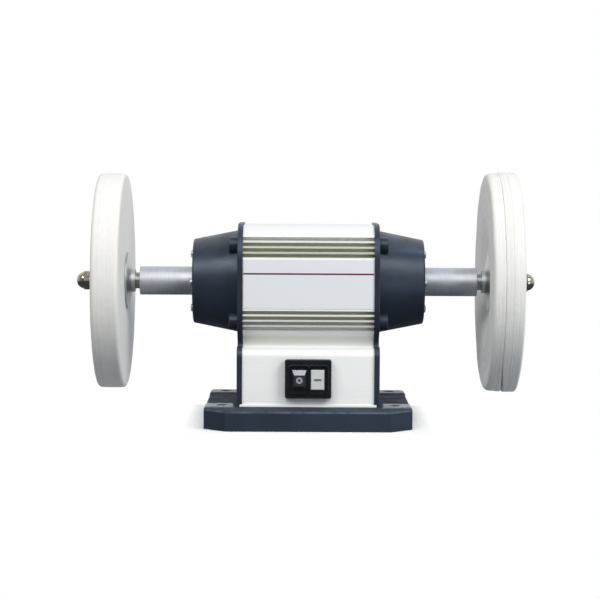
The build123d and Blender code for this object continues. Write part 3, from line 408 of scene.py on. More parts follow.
    def bump(self, height: Socket, depth: float, strength: float = 1.0, under: Socket | None = None) -> Socket:
        """Relief of a given depth.

        Args:
            height: The relief, 0 to 1.
            depth: Its depth in metres.
            strength: Share of it that shows.
            under: A coarser relief below it.

        Returns:
            The normal for the shader or for the next relief.
        """
        node = self.add("ShaderNodeBump")
        node.inputs["Strength"].default_value = strength
        node.inputs["Distance"].default_value = depth
        self.feed(node.inputs["Height"], height)
        if under is not None:
            self.feed(node.inputs["Normal"], under)
        return node.outputs["Normal"]


# Finishes
class Finish(ABC):
    """A surface finish that becomes one node material."""

    def material(self, name: str) -> bpy.types.Material:
        """Build the material.

        Args:
            name: What it is called.

        Returns:
            The new material.
        """
        material = bpy.data.materials.new(name)
        self.dress(Graph.of_material(material))
        return material

    @abstractmethod
    def dress(self, graph: Graph) -> None:
        """Add the finish's nodes.

        Args:
            graph: Nodes of the material.
        """


@dataclass(frozen=True)
class CastEnamel(Finish):
    """Stoved enamel over a casting: fine peel, cloudy tone, a film of dust on top."""

    colour: Colour
    tones: Range = (0.86, 1.16)
    cloud_scale: float = 24
    # Colour of the film of dust on top
    top_tone: Colour = (0.16, 0.17, 0.19)
    dust_share: float = 0.25
    dust_scale: float = 140
    top_tone_span: Range = (0.35, 0.75)
    dust_slope: Range = (0.5, 1.0)
    roughness: float = 0.36
    wear: Range = (-0.07, 0.09)
    wear_scale: float = 60
    gloss: float = 0.4
    gloss_tint: Colour = (0.66, 0.78, 1.0)
    wave_scale: float = 90
    wave_depth: float = 0.0005
    peel_scale: float = 1100
    peel_depth: float = 0.00012

    def dress(self, graph: Graph) -> None:
        """Add the finish's nodes.

        Args:
            graph: Nodes of the material.
        """
        paint = graph.mottle(graph.noise(self.cloud_scale, detail=4), self.colour, self.tones)
        fallen = graph.span(graph.noise(self.dust_scale, detail=5), *self.top_tone_span)
        settled = graph.times(graph.span(graph.upward(), *self.dust_slope), fallen, self.dust_share)
        graph.set(Base_Color=graph.blend(settled, paint, self.top_tone))
        graph.set(Roughness=graph.vary(graph.noise(self.wear_scale, detail=5), self.roughness, self.wear))
        waves = graph.bump(graph.noise(self.wave_scale, detail=2), self.wave_depth, strength=0.35)
        peel = graph.noise(self.peel_scale, detail=2)
        graph.set(Normal=graph.bump(peel, self.peel_depth, strength=0.6, under=waves))
        graph.set(Specular_IOR_Level=self.gloss, Specular_Tint=(*self.gloss_tint, 1))


@dataclass(frozen=True)
class BaseEnamel(CastEnamel):
    """Enamel of the base, rubbed smooth on the raised pads round the bench bolt holes, with pads made lighter by
    worn paint and a painted reflection, and up-front edges lightened by wear and a painted highlight.
    """

    # Pads' colour: partly rubbed paint, partly a painted reflection that makes them lighter
    pad_wear_and_reflection: Colour = (0.165, 0.176, 0.205)
    pad_top: float = 0.0192
    pad_blend: float = 0.0008
    pad_polish: float = 0.3
    rub_scale: float = 260
    rub_stretch: Triple = (1, 0.35, 1)
    rub_span: Range = (0.25, 0.7)
    rub_share: Range = (0.55, 1)
    # Edges that face up and forward: wear, partly a painted highlight that makes them lighter
    edge_wear_and_highlight: Colour = (0.1, 0.12, 0.165)
    worn_scale: float = 170
    worn_span: Range = (0.35, 0.6)
    worn_share: Range = (0.2, 0.9)
    edge_slope: Range = (0.4, 0.85)
    edge_blend: float = 0.15
    top_slope: Range = (0.9, 1.0)
    top_dulling: float = 1.28

    def dress(self, graph: Graph) -> None:
        """Add the finish's nodes.

        Args:
            graph: Nodes of the material.
        """
        super().dress(graph)
        rubbed = graph.noise(self.rub_scale, detail=5, vector=graph.mapped(self.rub_stretch))
        raised = graph.span(graph.axis(Axis.Z), self.pad_top - self.pad_blend, self.pad_top)
        pads = graph.times(raised, graph.span(rubbed, *self.rub_span, *self.rub_share))
        scuffs = graph.span(graph.noise(self.worn_scale, detail=4), *self.worn_span, *self.worn_share)
        # Up-front edges: lighter colour, partly wear and partly painted highlight
        edges = graph.times(graph.inside(graph.upward(), *self.edge_slope, self.edge_blend), scuffs)
        paint = graph.blend(edges, graph.fed("Base Color"), self.edge_wear_and_highlight)
        # Pads get a lighter colour, partly worn paint and partly painted reflection
        graph.set(Base_Color=graph.blend(pads, paint, self.pad_wear_and_reflection))
        dulled = graph.span(graph.upward(), *self.top_slope, 1, self.top_dulling)
        polished = graph.span(pads, 0, 1, 1, self.pad_polish)
        graph.set(Roughness=graph.times(graph.fed("Roughness"), dulled, polished))


@dataclass(frozen=True)
class ExtrudedCoat(Finish):
    """Pale coat on an extrusion: faint draw lines, a soft grain, and painted shade on top, in the corner grooves, on
    the upper fins and in the waist below the barrel.
    """

    colour: Colour
    tones: Range = (0.97, 1.02)
    line_scale: float = 900
    line_stretch: Triple = (0.012, 1, 1)
    line_share: float = 0.45
    line_depth: float = 0.00004
    cloud_scale: float = 18
    cloud_share: float = 0.55
    grain_scale: float = 2600
    grain_depth: float = 0.00004
    # Painted shade on top: a darker coat colour on faces that look up, and the facing over which it comes in
    top_tone: Colour = (0.73, 0.74, 0.715)
    top_tone_span: Range = (0.35, 0.85)
    corner_place: float = 0.023
    corner_radius: float = 0.030
    corner_blend: float = 0.0004
    # Painted shade in the corner grooves: a darker colour deep in each groove
    groove_shade: Colour = (0.52, 0.53, 0.4)
    groove_floor: float = 0.0032
    groove_mouth: float = 0.0003
    groove_share: float = 0.1
    # Painted shade on the upper corner's fins: a darker colour across them, weaker towards the corner's far end
    fin_shade: Colour = (0.47, 0.48, 0.395)
    fin_span: Range = (0.0013, 0.0178)
    fin_share: float = 0.6
    shade_fade_span: Range = (0.0125, 0.0155)
    # Painted shade in the waist under the barrel: a darker colour over a band of heights
    waist_shade: Colour = (0.69, 0.71, 0.655)
    waist_span: Range = (-0.0575, -0.0478)
    waist_blend: float = 0.0014
    roughness: float = 0.42
    wear: Range = (-0.06, 0.06)
    gloss: float = 0.4

    def shade_fade(self, graph: Graph, height: Socket, share: float) -> Socket:
        """Share of the painted shade that is left, less at a corner's far end."""
        return graph.span(height, *self.shade_fade_span, 1, share)

    def sunk(self, graph: Graph) -> Socket:
        """How deep a point lies in a corner groove.

        Args:
            graph: Nodes of the material.

        Returns:
            1 deep in a groove, 0 on the corner's surface and everywhere else.
        """
        offsets = []
        for name, middle in ((Axis.Y, 0.0), (Axis.Z, AXIS_Z)):
            away = graph.math(Operation.ABSOLUTE, graph.math(Operation.SUBTRACT, graph.axis(name), middle))
            offsets.append(graph.math(Operation.SUBTRACT, away, self.corner_place))
        squares = [graph.times(offset, offset) for offset in offsets]
        distance = graph.math(Operation.ROOT, graph.math(Operation.ADD, *squares))
        deepest, surface = self.corner_radius - self.groove_floor, self.corner_radius - self.groove_mouth
        depth = graph.span(distance, deepest, surface, 1, 0)
        corner = graph.span(graph.math(Operation.MINIMUM, *offsets), 0.0, self.corner_blend)
        return graph.times(depth, corner, self.shade_fade(graph, offsets[1], self.groove_share))

    def dress(self, graph: Graph) -> None:
        """Add the finish's nodes.

        Args:
            graph: Nodes of the material.
        """
        lines = graph.noise(self.line_scale, detail=3, vector=graph.mapped(self.line_stretch))
        tone = graph.weighted((lines, self.line_share), (graph.noise(self.cloud_scale), self.cloud_share))
        coat = graph.mottle(tone, self.colour, self.tones, NARROW)
        # Painted shade: faces that look up get the darker top colour
        coat = graph.blend(graph.span(graph.upward(), *self.top_tone_span), coat, self.top_tone)
        height = graph.math(Operation.SUBTRACT, graph.axis(Axis.Z), AXIS_Z + self.corner_place)
        # Painted shade on the upper fins
        fin_shade_share = graph.inside(height, *self.fin_span, self.corner_blend)
        fin_shade_share = graph.times(fin_shade_share, self.shade_fade(graph, height, self.fin_share))
        coat = graph.blend(fin_shade_share, coat, self.fin_shade)
        drop = graph.math(Operation.SUBTRACT, graph.axis(Axis.Z), AXIS_Z)
        # Painted shade in the waist below the barrel
        coat = graph.blend(graph.inside(drop, *self.waist_span, self.waist_blend), coat, self.waist_shade)
        # Painted shade: darker colour deep in the corner grooves
        graph.set(Base_Color=graph.blend(self.sunk(graph), coat, self.groove_shade))
        graph.set(Roughness=graph.vary(lines, self.roughness, self.wear), Specular_IOR_Level=self.gloss)
        drawn = graph.bump(lines, self.line_depth, strength=0.4)
        grain = graph.noise(self.grain_scale, detail=2)
        graph.set(Normal=graph.bump(grain, self.grain_depth, strength=0.5, under=drawn))


@dataclass(frozen=True)
class LabelFilm(Finish):
    """Printed film: pale, satin, with one thin line along it."""

    colour: Colour
    tones: Range = (0.97, 1.02)
    line: Colour = (0.12, 0.012, 0.042)
    line_rise: float = 0.0094
    line_width: float = 0.0015
    line_blend: float = 0.00008
    grain_scale: float = 1500
    grain_depth: float = 0.00002
    wear_scale: float = 40
    roughness: Range = (0.3, 0.4)
    gloss: float = 0.45

    def dress(self, graph: Graph) -> None:
        """Add the finish's nodes.

        Args:
            graph: Nodes of the material.
        """
        grain = graph.noise(self.grain_scale, detail=2)
        film = graph.mottle(grain, self.colour, self.tones)
        height = graph.math(Operation.SUBTRACT, graph.axis(Axis.Z), AXIS_Z + self.line_rise)
        stripe = graph.inside(height, -self.line_width / 2, self.line_width / 2, self.line_blend)
        graph.set(Base_Color=graph.blend(stripe, film, self.line))
        graph.set(Roughness=graph.span(graph.noise(self.wear_scale), *WIDE, *self.roughness))
        graph.set(Normal=graph.bump(grain, self.grain_depth, strength=0.4), Specular_IOR_Level=self.gloss)


@dataclass(frozen=True)
class TurnedSteel(Finish):
    """Steel turned about the spindle: fine rings, stains and a satin gloss."""

    colour: Colour
    tones: Range = (0.82, 1.1)
    roughness: float = 0.3
    wear: Range = (-0.06, 0.1)
    stain_scale: float = 45
    stain_share: float = 0.5
    ring_scale: float = 2400
    ring_stretch: Triple = (1, 0.03, 0.03)
    ring_share: float = 0.5
    ring_depth: float = 0.00003

    def dress(self, graph: Graph) -> None:
        """Add the finish's nodes.

        Args:
            graph: Nodes of the material.
        """
        rings = graph.noise(self.ring_scale, detail=3, vector=graph.mapped(self.ring_stretch))
        stain = graph.noise(self.stain_scale, detail=5)
        tone = graph.weighted((rings, self.ring_share), (stain, self.stain_share))
        graph.set(Base_Color=graph.mottle(tone, self.colour, self.tones, NARROW), Metallic=1.0)
        graph.set(Roughness=graph.vary(stain, self.roughness, self.wear))
        graph.set(Normal=graph.bump(rings, self.ring_depth, strength=0.6))


@dataclass(frozen=True)
class Plated(Finish):
    """Bright plating with fine scratches and a cloudy tint."""

    colour: Colour
    tones: Range = (0.78, 1.08)
    cloud_scale: float = 220
    roughness: float = 0.16
    scratch_scale: float = 1800
    scratch_stretch: Triple = (0.1, 1, 0.4)
    scratch_turn: Triple = (0.3, 0.6, 0.2)
    scratch_span: Range = (0.35, 0.7)
    scratch_depth: float = 0.00001
    scratch_gloss: float = 0.14

    def dress(self, graph: Graph) -> None:
        """Add the finish's nodes.

        Args:
            graph: Nodes of the material.
        """
        cloud = graph.noise(self.cloud_scale, detail=4)
        graph.set(Base_Color=graph.mottle(cloud, self.colour, self.tones), Metallic=1.0)
        along = graph.mapped(self.scratch_stretch, self.scratch_turn)
        scratches = graph.noise(self.scratch_scale, detail=2, vector=along)
        rough = self.roughness + self.scratch_gloss
        graph.set(Roughness=graph.span(scratches, *self.scratch_span, self.roughness, rough))
        graph.set(Normal=graph.bump(scratches, self.scratch_depth, strength=0.5))


@dataclass(frozen=True)
class Felted(Finish):
    """Pressed wool felt: matted fibres, soft pits and fine turning lines."""

    colour: Colour
    tones: Range = (0.93, 1.04)
    fibre_scale: float = 1900
    fibre_stretch: Triple = (1, 0.45, 0.8)
    fibre_turn: Triple = (0.4, 0.9, 0.2)
    fibre_blur: float = 0.65
    fibre_share: float = 0.3
    fibre_depth: float = 0.0005
    tuft_scale: float = 170
    tuft_share: float = 0.25
    tuft_depth: float = 0.0004
    turn_scale: float = 340
    turn_stretch: Triple = (1, 0.02, 0.02)
    turn_share: float = 0.45

    def dress(self, graph: Graph) -> None:
        """Add the finish's nodes.

        Args:
            graph: Nodes of the material.
        """
        along = graph.mapped(self.fibre_stretch, self.fibre_turn)
        fibre = graph.noise(self.fibre_scale, detail=6, vector=along, blur=self.fibre_blur)
        tufts = graph.noise(self.tuft_scale, detail=5)
        turned = graph.noise(self.turn_scale, detail=2, vector=graph.mapped(self.turn_stretch))
        tone = graph.weighted((fibre, self.fibre_share), (tufts, self.tuft_share), (turned, self.turn_share))
        graph.set(Base_Color=graph.mottle(tone, self.colour, self.tones, NARROW))
        coarse = graph.bump(graph.math(Operation.ADD, tufts, turned), self.tuft_depth, strength=0.4)
        graph.set(Normal=graph.bump(fibre, self.fibre_depth, strength=0.45, under=coarse))
        graph.set(Roughness=0.92, Specular_IOR_Level=0.15, Sheen_Weight=0.25, Sheen_Roughness=0.5)


@dataclass(frozen=True)
class SewnCotton(Finish):
    """Bleached cotton: cut ply edges in fine lines, woven threads on the faces."""

    colour: Colour
    tones: Range = (0.91, 1.04)
    tone_span: Range = (0.38, 0.62)
    weave_scale: float = 165
    weave_wobble: float = 1.5
    weave_depth: float = 0.0002
    ply_scale: float = 2300
    ply_stretch: Triple = (1, 0.004, 0.004)
    ply_share: float = 0.2
    ply_depth: float = 0.0003
    fluff_scale: float = 900
    fluff_share: float = 0.2
    fluff_depth: float = 0.00025
    cloud_scale: float = 26
    cloud_share: float = 0.15
    fold_scale: float = 210
    fold_stretch: Triple = (1, 0.02, 0.02)
    fold_share: float = 0.45
    fold_depth: float = 0.0012

    def dress(self, graph: Graph) -> None:
        """Add the finish's nodes.

        Args:
            graph: Nodes of the material.
        """
        plies = graph.noise(self.ply_scale, detail=3, vector=graph.mapped(self.ply_stretch))
        weave = graph.times(*(graph.bands(axis, self.weave_scale, self.weave_wobble) for axis in (Axis.Y, Axis.Z)))
        fluff = graph.noise(self.fluff_scale, detail=6)
        cloud = graph.noise(self.cloud_scale, detail=4)
        folds = graph.noise(self.fold_scale, detail=2, vector=graph.mapped(self.fold_stretch))
        tone = graph.weighted(
            (plies, self.ply_share), (fluff, self.fluff_share), (cloud, self.cloud_share), (folds, self.fold_share)
        )
        graph.set(Base_Color=graph.mottle(tone, self.colour, self.tones, self.tone_span))
        waves = graph.bump(folds, self.fold_depth, strength=0.5)
        edges = graph.bump(plies, self.ply_depth, strength=0.4, under=waves)
        cloth = graph.bump(weave, self.weave_depth, strength=0.3, under=edges)
        graph.set(Normal=graph.bump(fluff, self.fluff_depth, strength=0.3, under=cloth))
        graph.set(Roughness=0.94, Specular_IOR_Level=0.12, Sheen_Weight=0.3, Sheen_Roughness=0.45)


@dataclass(frozen=True)
class Moulded(Finish):
    """Moulded plastic: spark-eroded grain with rubbed, shinier patches."""

    colour: Colour
    tones: Range = (0.9, 1.12)
    roughness: float = 0.45
    wear: Range = (-0.05, 0.07)
    wear_scale: float = 75
    gloss: float = 0.5
    grain_scale: float = 1600
    grain_depth: float = 0.00005

    def dress(self, graph: Graph) -> None:
        """Add the finish's nodes.

        Args:
            graph: Nodes of the material.
        """
        rubbed = graph.noise(self.wear_scale, detail=4)
        graph.set(Base_Color=graph.mottle(rubbed, self.colour, self.tones))
        graph.set(Roughness=graph.vary(rubbed, self.roughness, self.wear), Specular_IOR_Level=self.gloss)
        graph.set(Normal=graph.bump(graph.noise(self.grain_scale), self.grain_depth, strength=0.5))


@dataclass(frozen=True)
class Rubber(Finish):
    """Dull black rubber with bloom."""

    colour: Colour
    tones: Range = (1, 1.9)
    bloom_scale: float = 210
    bloom_span: Range = (0.35, 0.7)
    roughness: Range = (0.7, 0.88)
    grain_scale: float = 1400
    grain_depth: float = 0.00006

    def dress(self, graph: Graph) -> None:
        """Add the finish's nodes.

        Args:
            graph: Nodes of the material.
        """
        bloom = graph.noise(self.bloom_scale, detail=5)
        graph.set(Base_Color=graph.mottle(bloom, self.colour, self.tones, self.bloom_span))
        graph.set(Roughness=graph.span(bloom, *WIDE, *self.roughness), Specular_IOR_Level=0.3)
        graph.set(Normal=graph.bump(graph.noise(self.grain_scale), self.grain_depth, strength=0.5))


@dataclass(frozen=True)
class Laminated(Finish):
    """Stack of stamped sheets: dark lines across the spindle."""

    colour: Colour
    gap_tone: float = 0.5
    sheet_scale: float = 314
    sheet_depth: float = 0.00015
    stain_scale: float = 120
    stain_span: Range = (0.2, 0.8)
    stain_share: Range = (0.6, 1)
    roughness: Range = (0.4, 0.6)

    def dress(self, graph: Graph) -> None:
        """Add the finish's nodes.

        Args:
            graph: Nodes of the material.
        """
        sheets = graph.bands(Axis.X, self.sheet_scale)
        stain = graph.noise(self.stain_scale, detail=4)
        tone = graph.times(sheets, graph.span(stain, *self.stain_span, *self.stain_share))
        graph.set(Base_Color=graph.shade(tone, tint(self.colour, self.gap_tone), self.colour))
        graph.set(Metallic=0.85, Roughness=graph.span(stain, *WIDE, *self.roughness))
        graph.set(Normal=graph.bump(sheets, self.sheet_depth, strength=0.6))


@dataclass(frozen=True)
class WoundWire(Finish):
    """Varnished copper wire, laid side by side."""

    colour: Colour
    tones: Range = (0.45, 1.15)
    wire_scale: float = 420
    wire_wobble: float = 2.5
    wire_depth: float = 0.0004
    varnish: Colour = (0.16, 0.06, 0.02)
    varnish_scale: float = 160
    varnish_span: Range = (0.45, 0.75)
    varnish_share: Range = (0, 0.5)
    roughness: Range = (0.25, 0.45)

    def dress(self, graph: Graph) -> None:
        """Add the finish's nodes.

        Args:
            graph: Nodes of the material.
        """
        strands = graph.bands(Axis.Z, self.wire_scale, self.wire_wobble)
        film = graph.noise(self.varnish_scale, detail=4)
        dark, light = self.tones
        wire = graph.shade(strands, tint(self.colour, dark), tint(self.colour, light))
        covered = graph.span(film, *self.varnish_span, *self.varnish_share)
        graph.set(Base_Color=graph.blend(covered, wire, self.varnish))
        graph.set(Metallic=0.75, Roughness=graph.span(film, *WIDE, *self.roughness))
        graph.set(Normal=graph.bump(strands, self.wire_depth, strength=0.7), Coat_Weight=0.4, Coat_Roughness=0.2)


FINISHES: dict[str, Finish] = {
    "base_enamel": BaseEnamel((0.026, 0.036, 0.052), dust_share=0.1, roughness=0.6, gloss=0.2),
    "shield_enamel": CastEnamel(
        (0.019, 0.026, 0.039), dust_share=0.1, roughness=0.36, gloss=0.5, gloss_tint=(0.74, 0.85, 1), peel_scale=900,
    ),
    "housing_coat": ExtrudedCoat((0.88, 0.89, 0.855)),
    "label_film": LabelFilm((0.76, 0.775, 0.785)),
    "sleeve_steel": TurnedSteel((0.62, 0.635, 0.67), roughness=0.53, ring_depth=0.00002),
    "spindle_steel": TurnedSteel((0.34, 0.34, 0.345), roughness=0.3),
    "flange_steel": TurnedSteel((0.56, 0.575, 0.565), roughness=0.42, ring_depth=0.000012),
    "nut_plating": Plated((0.45, 0.415, 0.325), roughness=0.17, scratch_depth=0.0000005, scratch_gloss=0.04),
    "zinc_screw": Plated((0.58, 0.59, 0.6), roughness=0.26),
    "bearing_steel": Plated((0.7, 0.7, 0.72), roughness=0.1),
    "lamination": Laminated((0.3, 0.31, 0.33)),
    "copper_wire": WoundWire((0.5, 0.2, 0.09)),
    "cage_alloy": TurnedSteel((0.66, 0.66, 0.67), roughness=0.42),
    "felt": Felted((0.79, 0.772, 0.727)),
    "cotton": SewnCotton((0.765, 0.752, 0.708)),
    "switch_black": Moulded((0.009, 0.011, 0.012), roughness=0.26, gloss=0.45),
    "stop_black": Moulded((0.034, 0.037, 0.042), roughness=0.13, gloss=0.8, grain_scale=700, grain_depth=0.00001),
    "start_white": Moulded((0.56, 0.6, 0.58), roughness=0.3, grain_scale=700, grain_depth=0.00002),
    "terminal_brass": Plated((0.72, 0.52, 0.22), roughness=0.25),
    "capacitor_can": TurnedSteel((0.68, 0.68, 0.69), roughness=0.3),
    "cover_sheet": Plated((0.46, 0.47, 0.48), roughness=0.34, scratch_scale=900),
    "gland_plastic": Moulded((0.02, 0.02, 0.021), roughness=0.52),
    "seal_rubber": Rubber((0.014, 0.014, 0.014)),
    "ring_print": Moulded((0.33, 0.33, 0.37), roughness=0.3),
    "bar_print": Moulded((0.13, 0.145, 0.12), roughness=0.35),
}


class Wardrobe:
    """Makes each finish's material once, and dresses nodes and pieces in it."""

    def __init__(self) -> None:
        """Start with no materials."""
        self.made: dict[str, bpy.types.Material] = {}

    def material(self, slot: str) -> bpy.types.Material:
        """The material of a finish.

        Args:
            slot: A slot in the record, or the name of another finish.

        Returns:
            The material, the same one each time.
        """
        if slot not in self.made:
            self.made[slot] = FINISHES[slot].material(slot)
        return self.made[slot]

    def put_on(self, piece: bpy.types.Object, slot: str) -> None:
        """Give an object one material all over."""
        piece.data.materials.clear()
        piece.data.materials.append(self.material(slot))

    def dress_nodes(self) -> None:
        """Dress every node of the frame in its slot's finish."""
        for part in frame["record"]["subparts"]:
            self.put_on(frame["nodes"][part["node"]], part["material_slot"])


# Hand modelling
class Model:
    """One new mesh object, shaped in edit mode; its place goes into its mesh."""

    def __init__(self, name: str) -> None:
        """Name the piece; nothing is added yet."""
        self.name = name
        self.object: bpy.types.Object | None = None

    def begin(self, add: Callable[..., set[str]], **settings: object) -> None:
        """Add the first primitive and enter edit mode with all of it selected.

        Args:
            add: The primitive's operator.
            settings: Its size and place.
        """
        bpy.ops.object.select_all(action="DESELECT")
        add(**settings)
        self.object = bpy.context.active_object
        self.object.name = self.name
        self.object.data.name = self.name
        bpy.ops.object.transform_apply(location=True, rotation=True, scale=True)
        bpy.ops.object.mode_set(mode="EDIT")
        bpy.ops.mesh.select_all(action="SELECT")

    def also(self, add: Callable[..., set[str]], **settings: object) -> None:
        """Add a primitive, the first one or a further one; only it is selected then.

        Args:
            add: The primitive's operator.
            settings: Its size and place.
        """
        if self.object is None:
            self.begin(add, **settings)
        else:
            bpy.ops.mesh.select_all(action="DESELECT")
            add(**settings)

    def pick(self, kind: Element, test: Callable[[Vector], bool]) -> None:
        """Select the vertices or edges whose middle passes a test.

        Args:
            kind: Which of them.
            test: Says of a point whether it is wanted.
        """
        bpy.ops.mesh.select_all(action="DESELECT")
        bpy.ops.mesh.select_mode(type=kind.value)
        bpy.ops.object.mode_set(mode="OBJECT")
        mesh = self.object.data
        points = mesh.vertices
        if kind is Element.VERTEX:
            for vertex in points:
                vertex.select = test(vertex.co)
        else:
            for edge in mesh.edges:
                edge.select = test((points[edge.vertices[0]].co + points[edge.vertices[1]].co) / 2)
        bpy.ops.object.mode_set(mode="EDIT")

    def profile(self, points: Line) -> None:
        """Draw a closed line of (x, radius) points above the spindle's axis, from one vertex.

        Args:
            points: The line in metres.
        """
        first = points[0]
        self.begin(bpy.ops.mesh.primitive_plane_add, size=MM, location=(first[0], 0, AXIS_Z + first[1]))
        bpy.ops.mesh.merge(type="CENTER")
        for start, end in zip(points, points[1:]):
            step = (end[0] - start[0], 0, end[1] - start[1])
            bpy.ops.mesh.extrude_vertices_move(TRANSFORM_OT_translate={"value": step})
        ends = [Vector((x, 0, AXIS_Z + radius)) for x, radius in (points[0], points[-1])]
        self.pick(Element.VERTEX, lambda place: any((place - end).length < SAME_POINT for end in ends))
        bpy.ops.mesh.edge_face_add()

    def turn(self, steps: int) -> None:
        """Spin everything once round the spindle and close the seam.

        Args:
            steps: Number of steps in the turn.
        """
        bpy.ops.mesh.select_all(action="SELECT")
        bpy.ops.mesh.spin(steps=steps, angle=2 * pi, center=(0, 0, AXIS_Z), axis=(1, 0, 0))
        self.close()

    def copy_round(self, count: int, center: Sequence[float], axis: Sequence[float]) -> None:
        """Copy what is selected round an axis, so that count of them fill the turn."""
        angle = 2 * pi * (count - 1) / count
        bpy.ops.mesh.spin(steps=count - 1, angle=angle, dupli=True, center=center, axis=axis)

    def face_out(self) -> None:
        """Point all faces outwards."""
        bpy.ops.mesh.select_all(action="SELECT")
        bpy.ops.mesh.normals_make_consistent(inside=False)

    def close(self) -> None:
        """Merge doubles and point all faces outwards."""
        bpy.ops.mesh.select_all(action="SELECT")
        bpy.ops.mesh.remove_doubles(threshold=DOUBLES)
        self.face_out()

    def end(self, angle: float = 40) -> bpy.types.Object:
        """Leave edit mode and smooth the piece.

        Args:
            angle: Edges flatter than this, in degrees, are smoothed.

        Returns:
            The finished object.
        """
        bpy.ops.object.mode_set(mode="OBJECT")
        bpy.ops.object.shade_smooth_by_angle(angle=radians(angle))
        return self.object

    def ruffle(self, size: float, depth: float, group: str = "", way: Push = Push.OUT) -> None:
        """Push the surface in and out by clouds, in object mode.

        Args:
            size: Size of the clouds in metres.
            depth: How far they reach, both ways together.
            group: Vertex group that limits them.
            way: How they move it.
        """
        clouds = bpy.data.textures.new(f"{self.name}_clouds", "CLOUDS")
        clouds.noise_scale = size
        clouds.noise_depth = 2
        bpy.context.view_layer.objects.active = self.object
        ruffle = self.object.modifiers.new("ruffle", "DISPLACE")
        ruffle.texture = clouds
        ruffle.texture_coords = "LOCAL"
        ruffle.strength = depth
        ruffle.mid_level = 0.5
        ruffle.direction = way.value
        ruffle.vertex_group = group
        bpy.ops.object.modifier_apply(modifier=ruffle.name)
        bpy.data.textures.remove(clouds)

    def slide(self, distance: float, group: str) -> None:
        """Move a vertex group along X, each point by its weight, in object mode.

        Args:
            distance: How far a point of full weight moves, in metres.
            group: The vertex group.
        """
        bpy.context.view_layer.objects.active = self.object
        slide = self.object.modifiers.new("slide", "DISPLACE")
        slide.direction = "X"
        slide.strength = distance
        slide.mid_level = 0
        slide.vertex_group = group
        bpy.ops.object.modifier_apply(modifier=slide.name)


@dataclass
class Assembly(ABC):
    """A group of pieces that is built and dressed together."""

    wardrobe: Wardrobe

    @abstractmethod
    def build(self) -> list[bpy.types.Object]:
        """Model and dress the pieces.

        Returns:
            The finished pieces.
        """

    def settle(
        self, piece: bpy.types.Object, body: Body, slot: str, *nodes: str, finish: str = ""
    ) -> bpy.types.Object:
        """Dress a piece, let it ride on its body and stand for the nodes it replaces.

        Args:
            piece: The finished object.
            body: What it moves with.
            slot: Its material slot in the record.
            nodes: Nodes that it stands for.
            finish: Another finish than the slot's own.

        Returns:
            The same piece.
        """
        self.wardrobe.put_on(piece, finish or slot)
        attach(piece, body.value)
        if nodes:
            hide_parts(*nodes)
        return piece


# Wheels
@dataclass
class FeltWheel(Assembly):
    """Pressed felt wheel on the left end: rounded rim, pressed ring under the flanges."""

    edge_radius: float = 3.2 * MM
    edge_points: int = 7
    rim_points: int = 9
    bore: float = 6.1 * MM
    pressed: float = 0.35 * MM
    pressed_radius: float = 27.5 * MM
    # Share of the pressed depth, and distance from the pressed ring's radius
    pressed_lip: tuple[Range, ...] = ((1.0, -2 * MM), (0.8, -0.6 * MM), (0.0, 1.2 * MM))
    face_radii: tuple[float, ...] = tuple(radius * MM for radius in range(32, 95, 7))
    crown: float = 0.25 * MM
    # Size and depth of the surface's waves
    waves: tuple[Range, ...] = ((24 * MM, 0.5 * MM), (5 * MM, 0.12 * MM))
    steps: int = 200

    def line(self) -> Line:
        """Profile of the wheel, from the bore up the outer face and down the inner one.

        Returns:
            Points of (x, radius), closed by the last one.
        """
        low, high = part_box("felt_wheel")
        rim = (high.z - low.z) / 2
        half = (high.x - low.x) / 2
        middle = (high.x + low.x) / 2
        face = [(half - self.pressed, self.bore)]
        face += [(half - self.pressed * share, self.pressed_radius + away) for share, away in self.pressed_lip]
        face += [(half, radius) for radius in self.face_radii]
        for index in range(self.edge_points):
            angle = pi / 2 * index / (self.edge_points - 1)
            out = half - self.edge_radius + self.edge_radius * cos(angle)
            face.append((out, rim - self.crown - self.edge_radius + self.edge_radius * sin(angle)))
        flat = half - self.edge_radius
        rim_line = []
        for index in range(1, self.rim_points):
            out = flat - 2 * flat * index / self.rim_points
            rim_line.append((out, rim - self.crown * (out / flat) ** 2))
        other = [(-out, radius) for out, radius in reversed(face)]
        return [(middle + out, radius) for out, radius in face + rim_line + other]

    def build(self) -> list[bpy.types.Object]:
        """Turn the profile and ruffle its surface a little.

        Returns:
            The wheel.
        """
        model = Model("felt_wheel_dressed")
        model.profile(self.line())
        model.turn(self.steps)
        piece = model.end(angle=50)
        for size, depth in self.waves:
            model.ruffle(size, depth)
        return [self.settle(piece, Body.SPINDLE, "felt", "felt_wheel")]


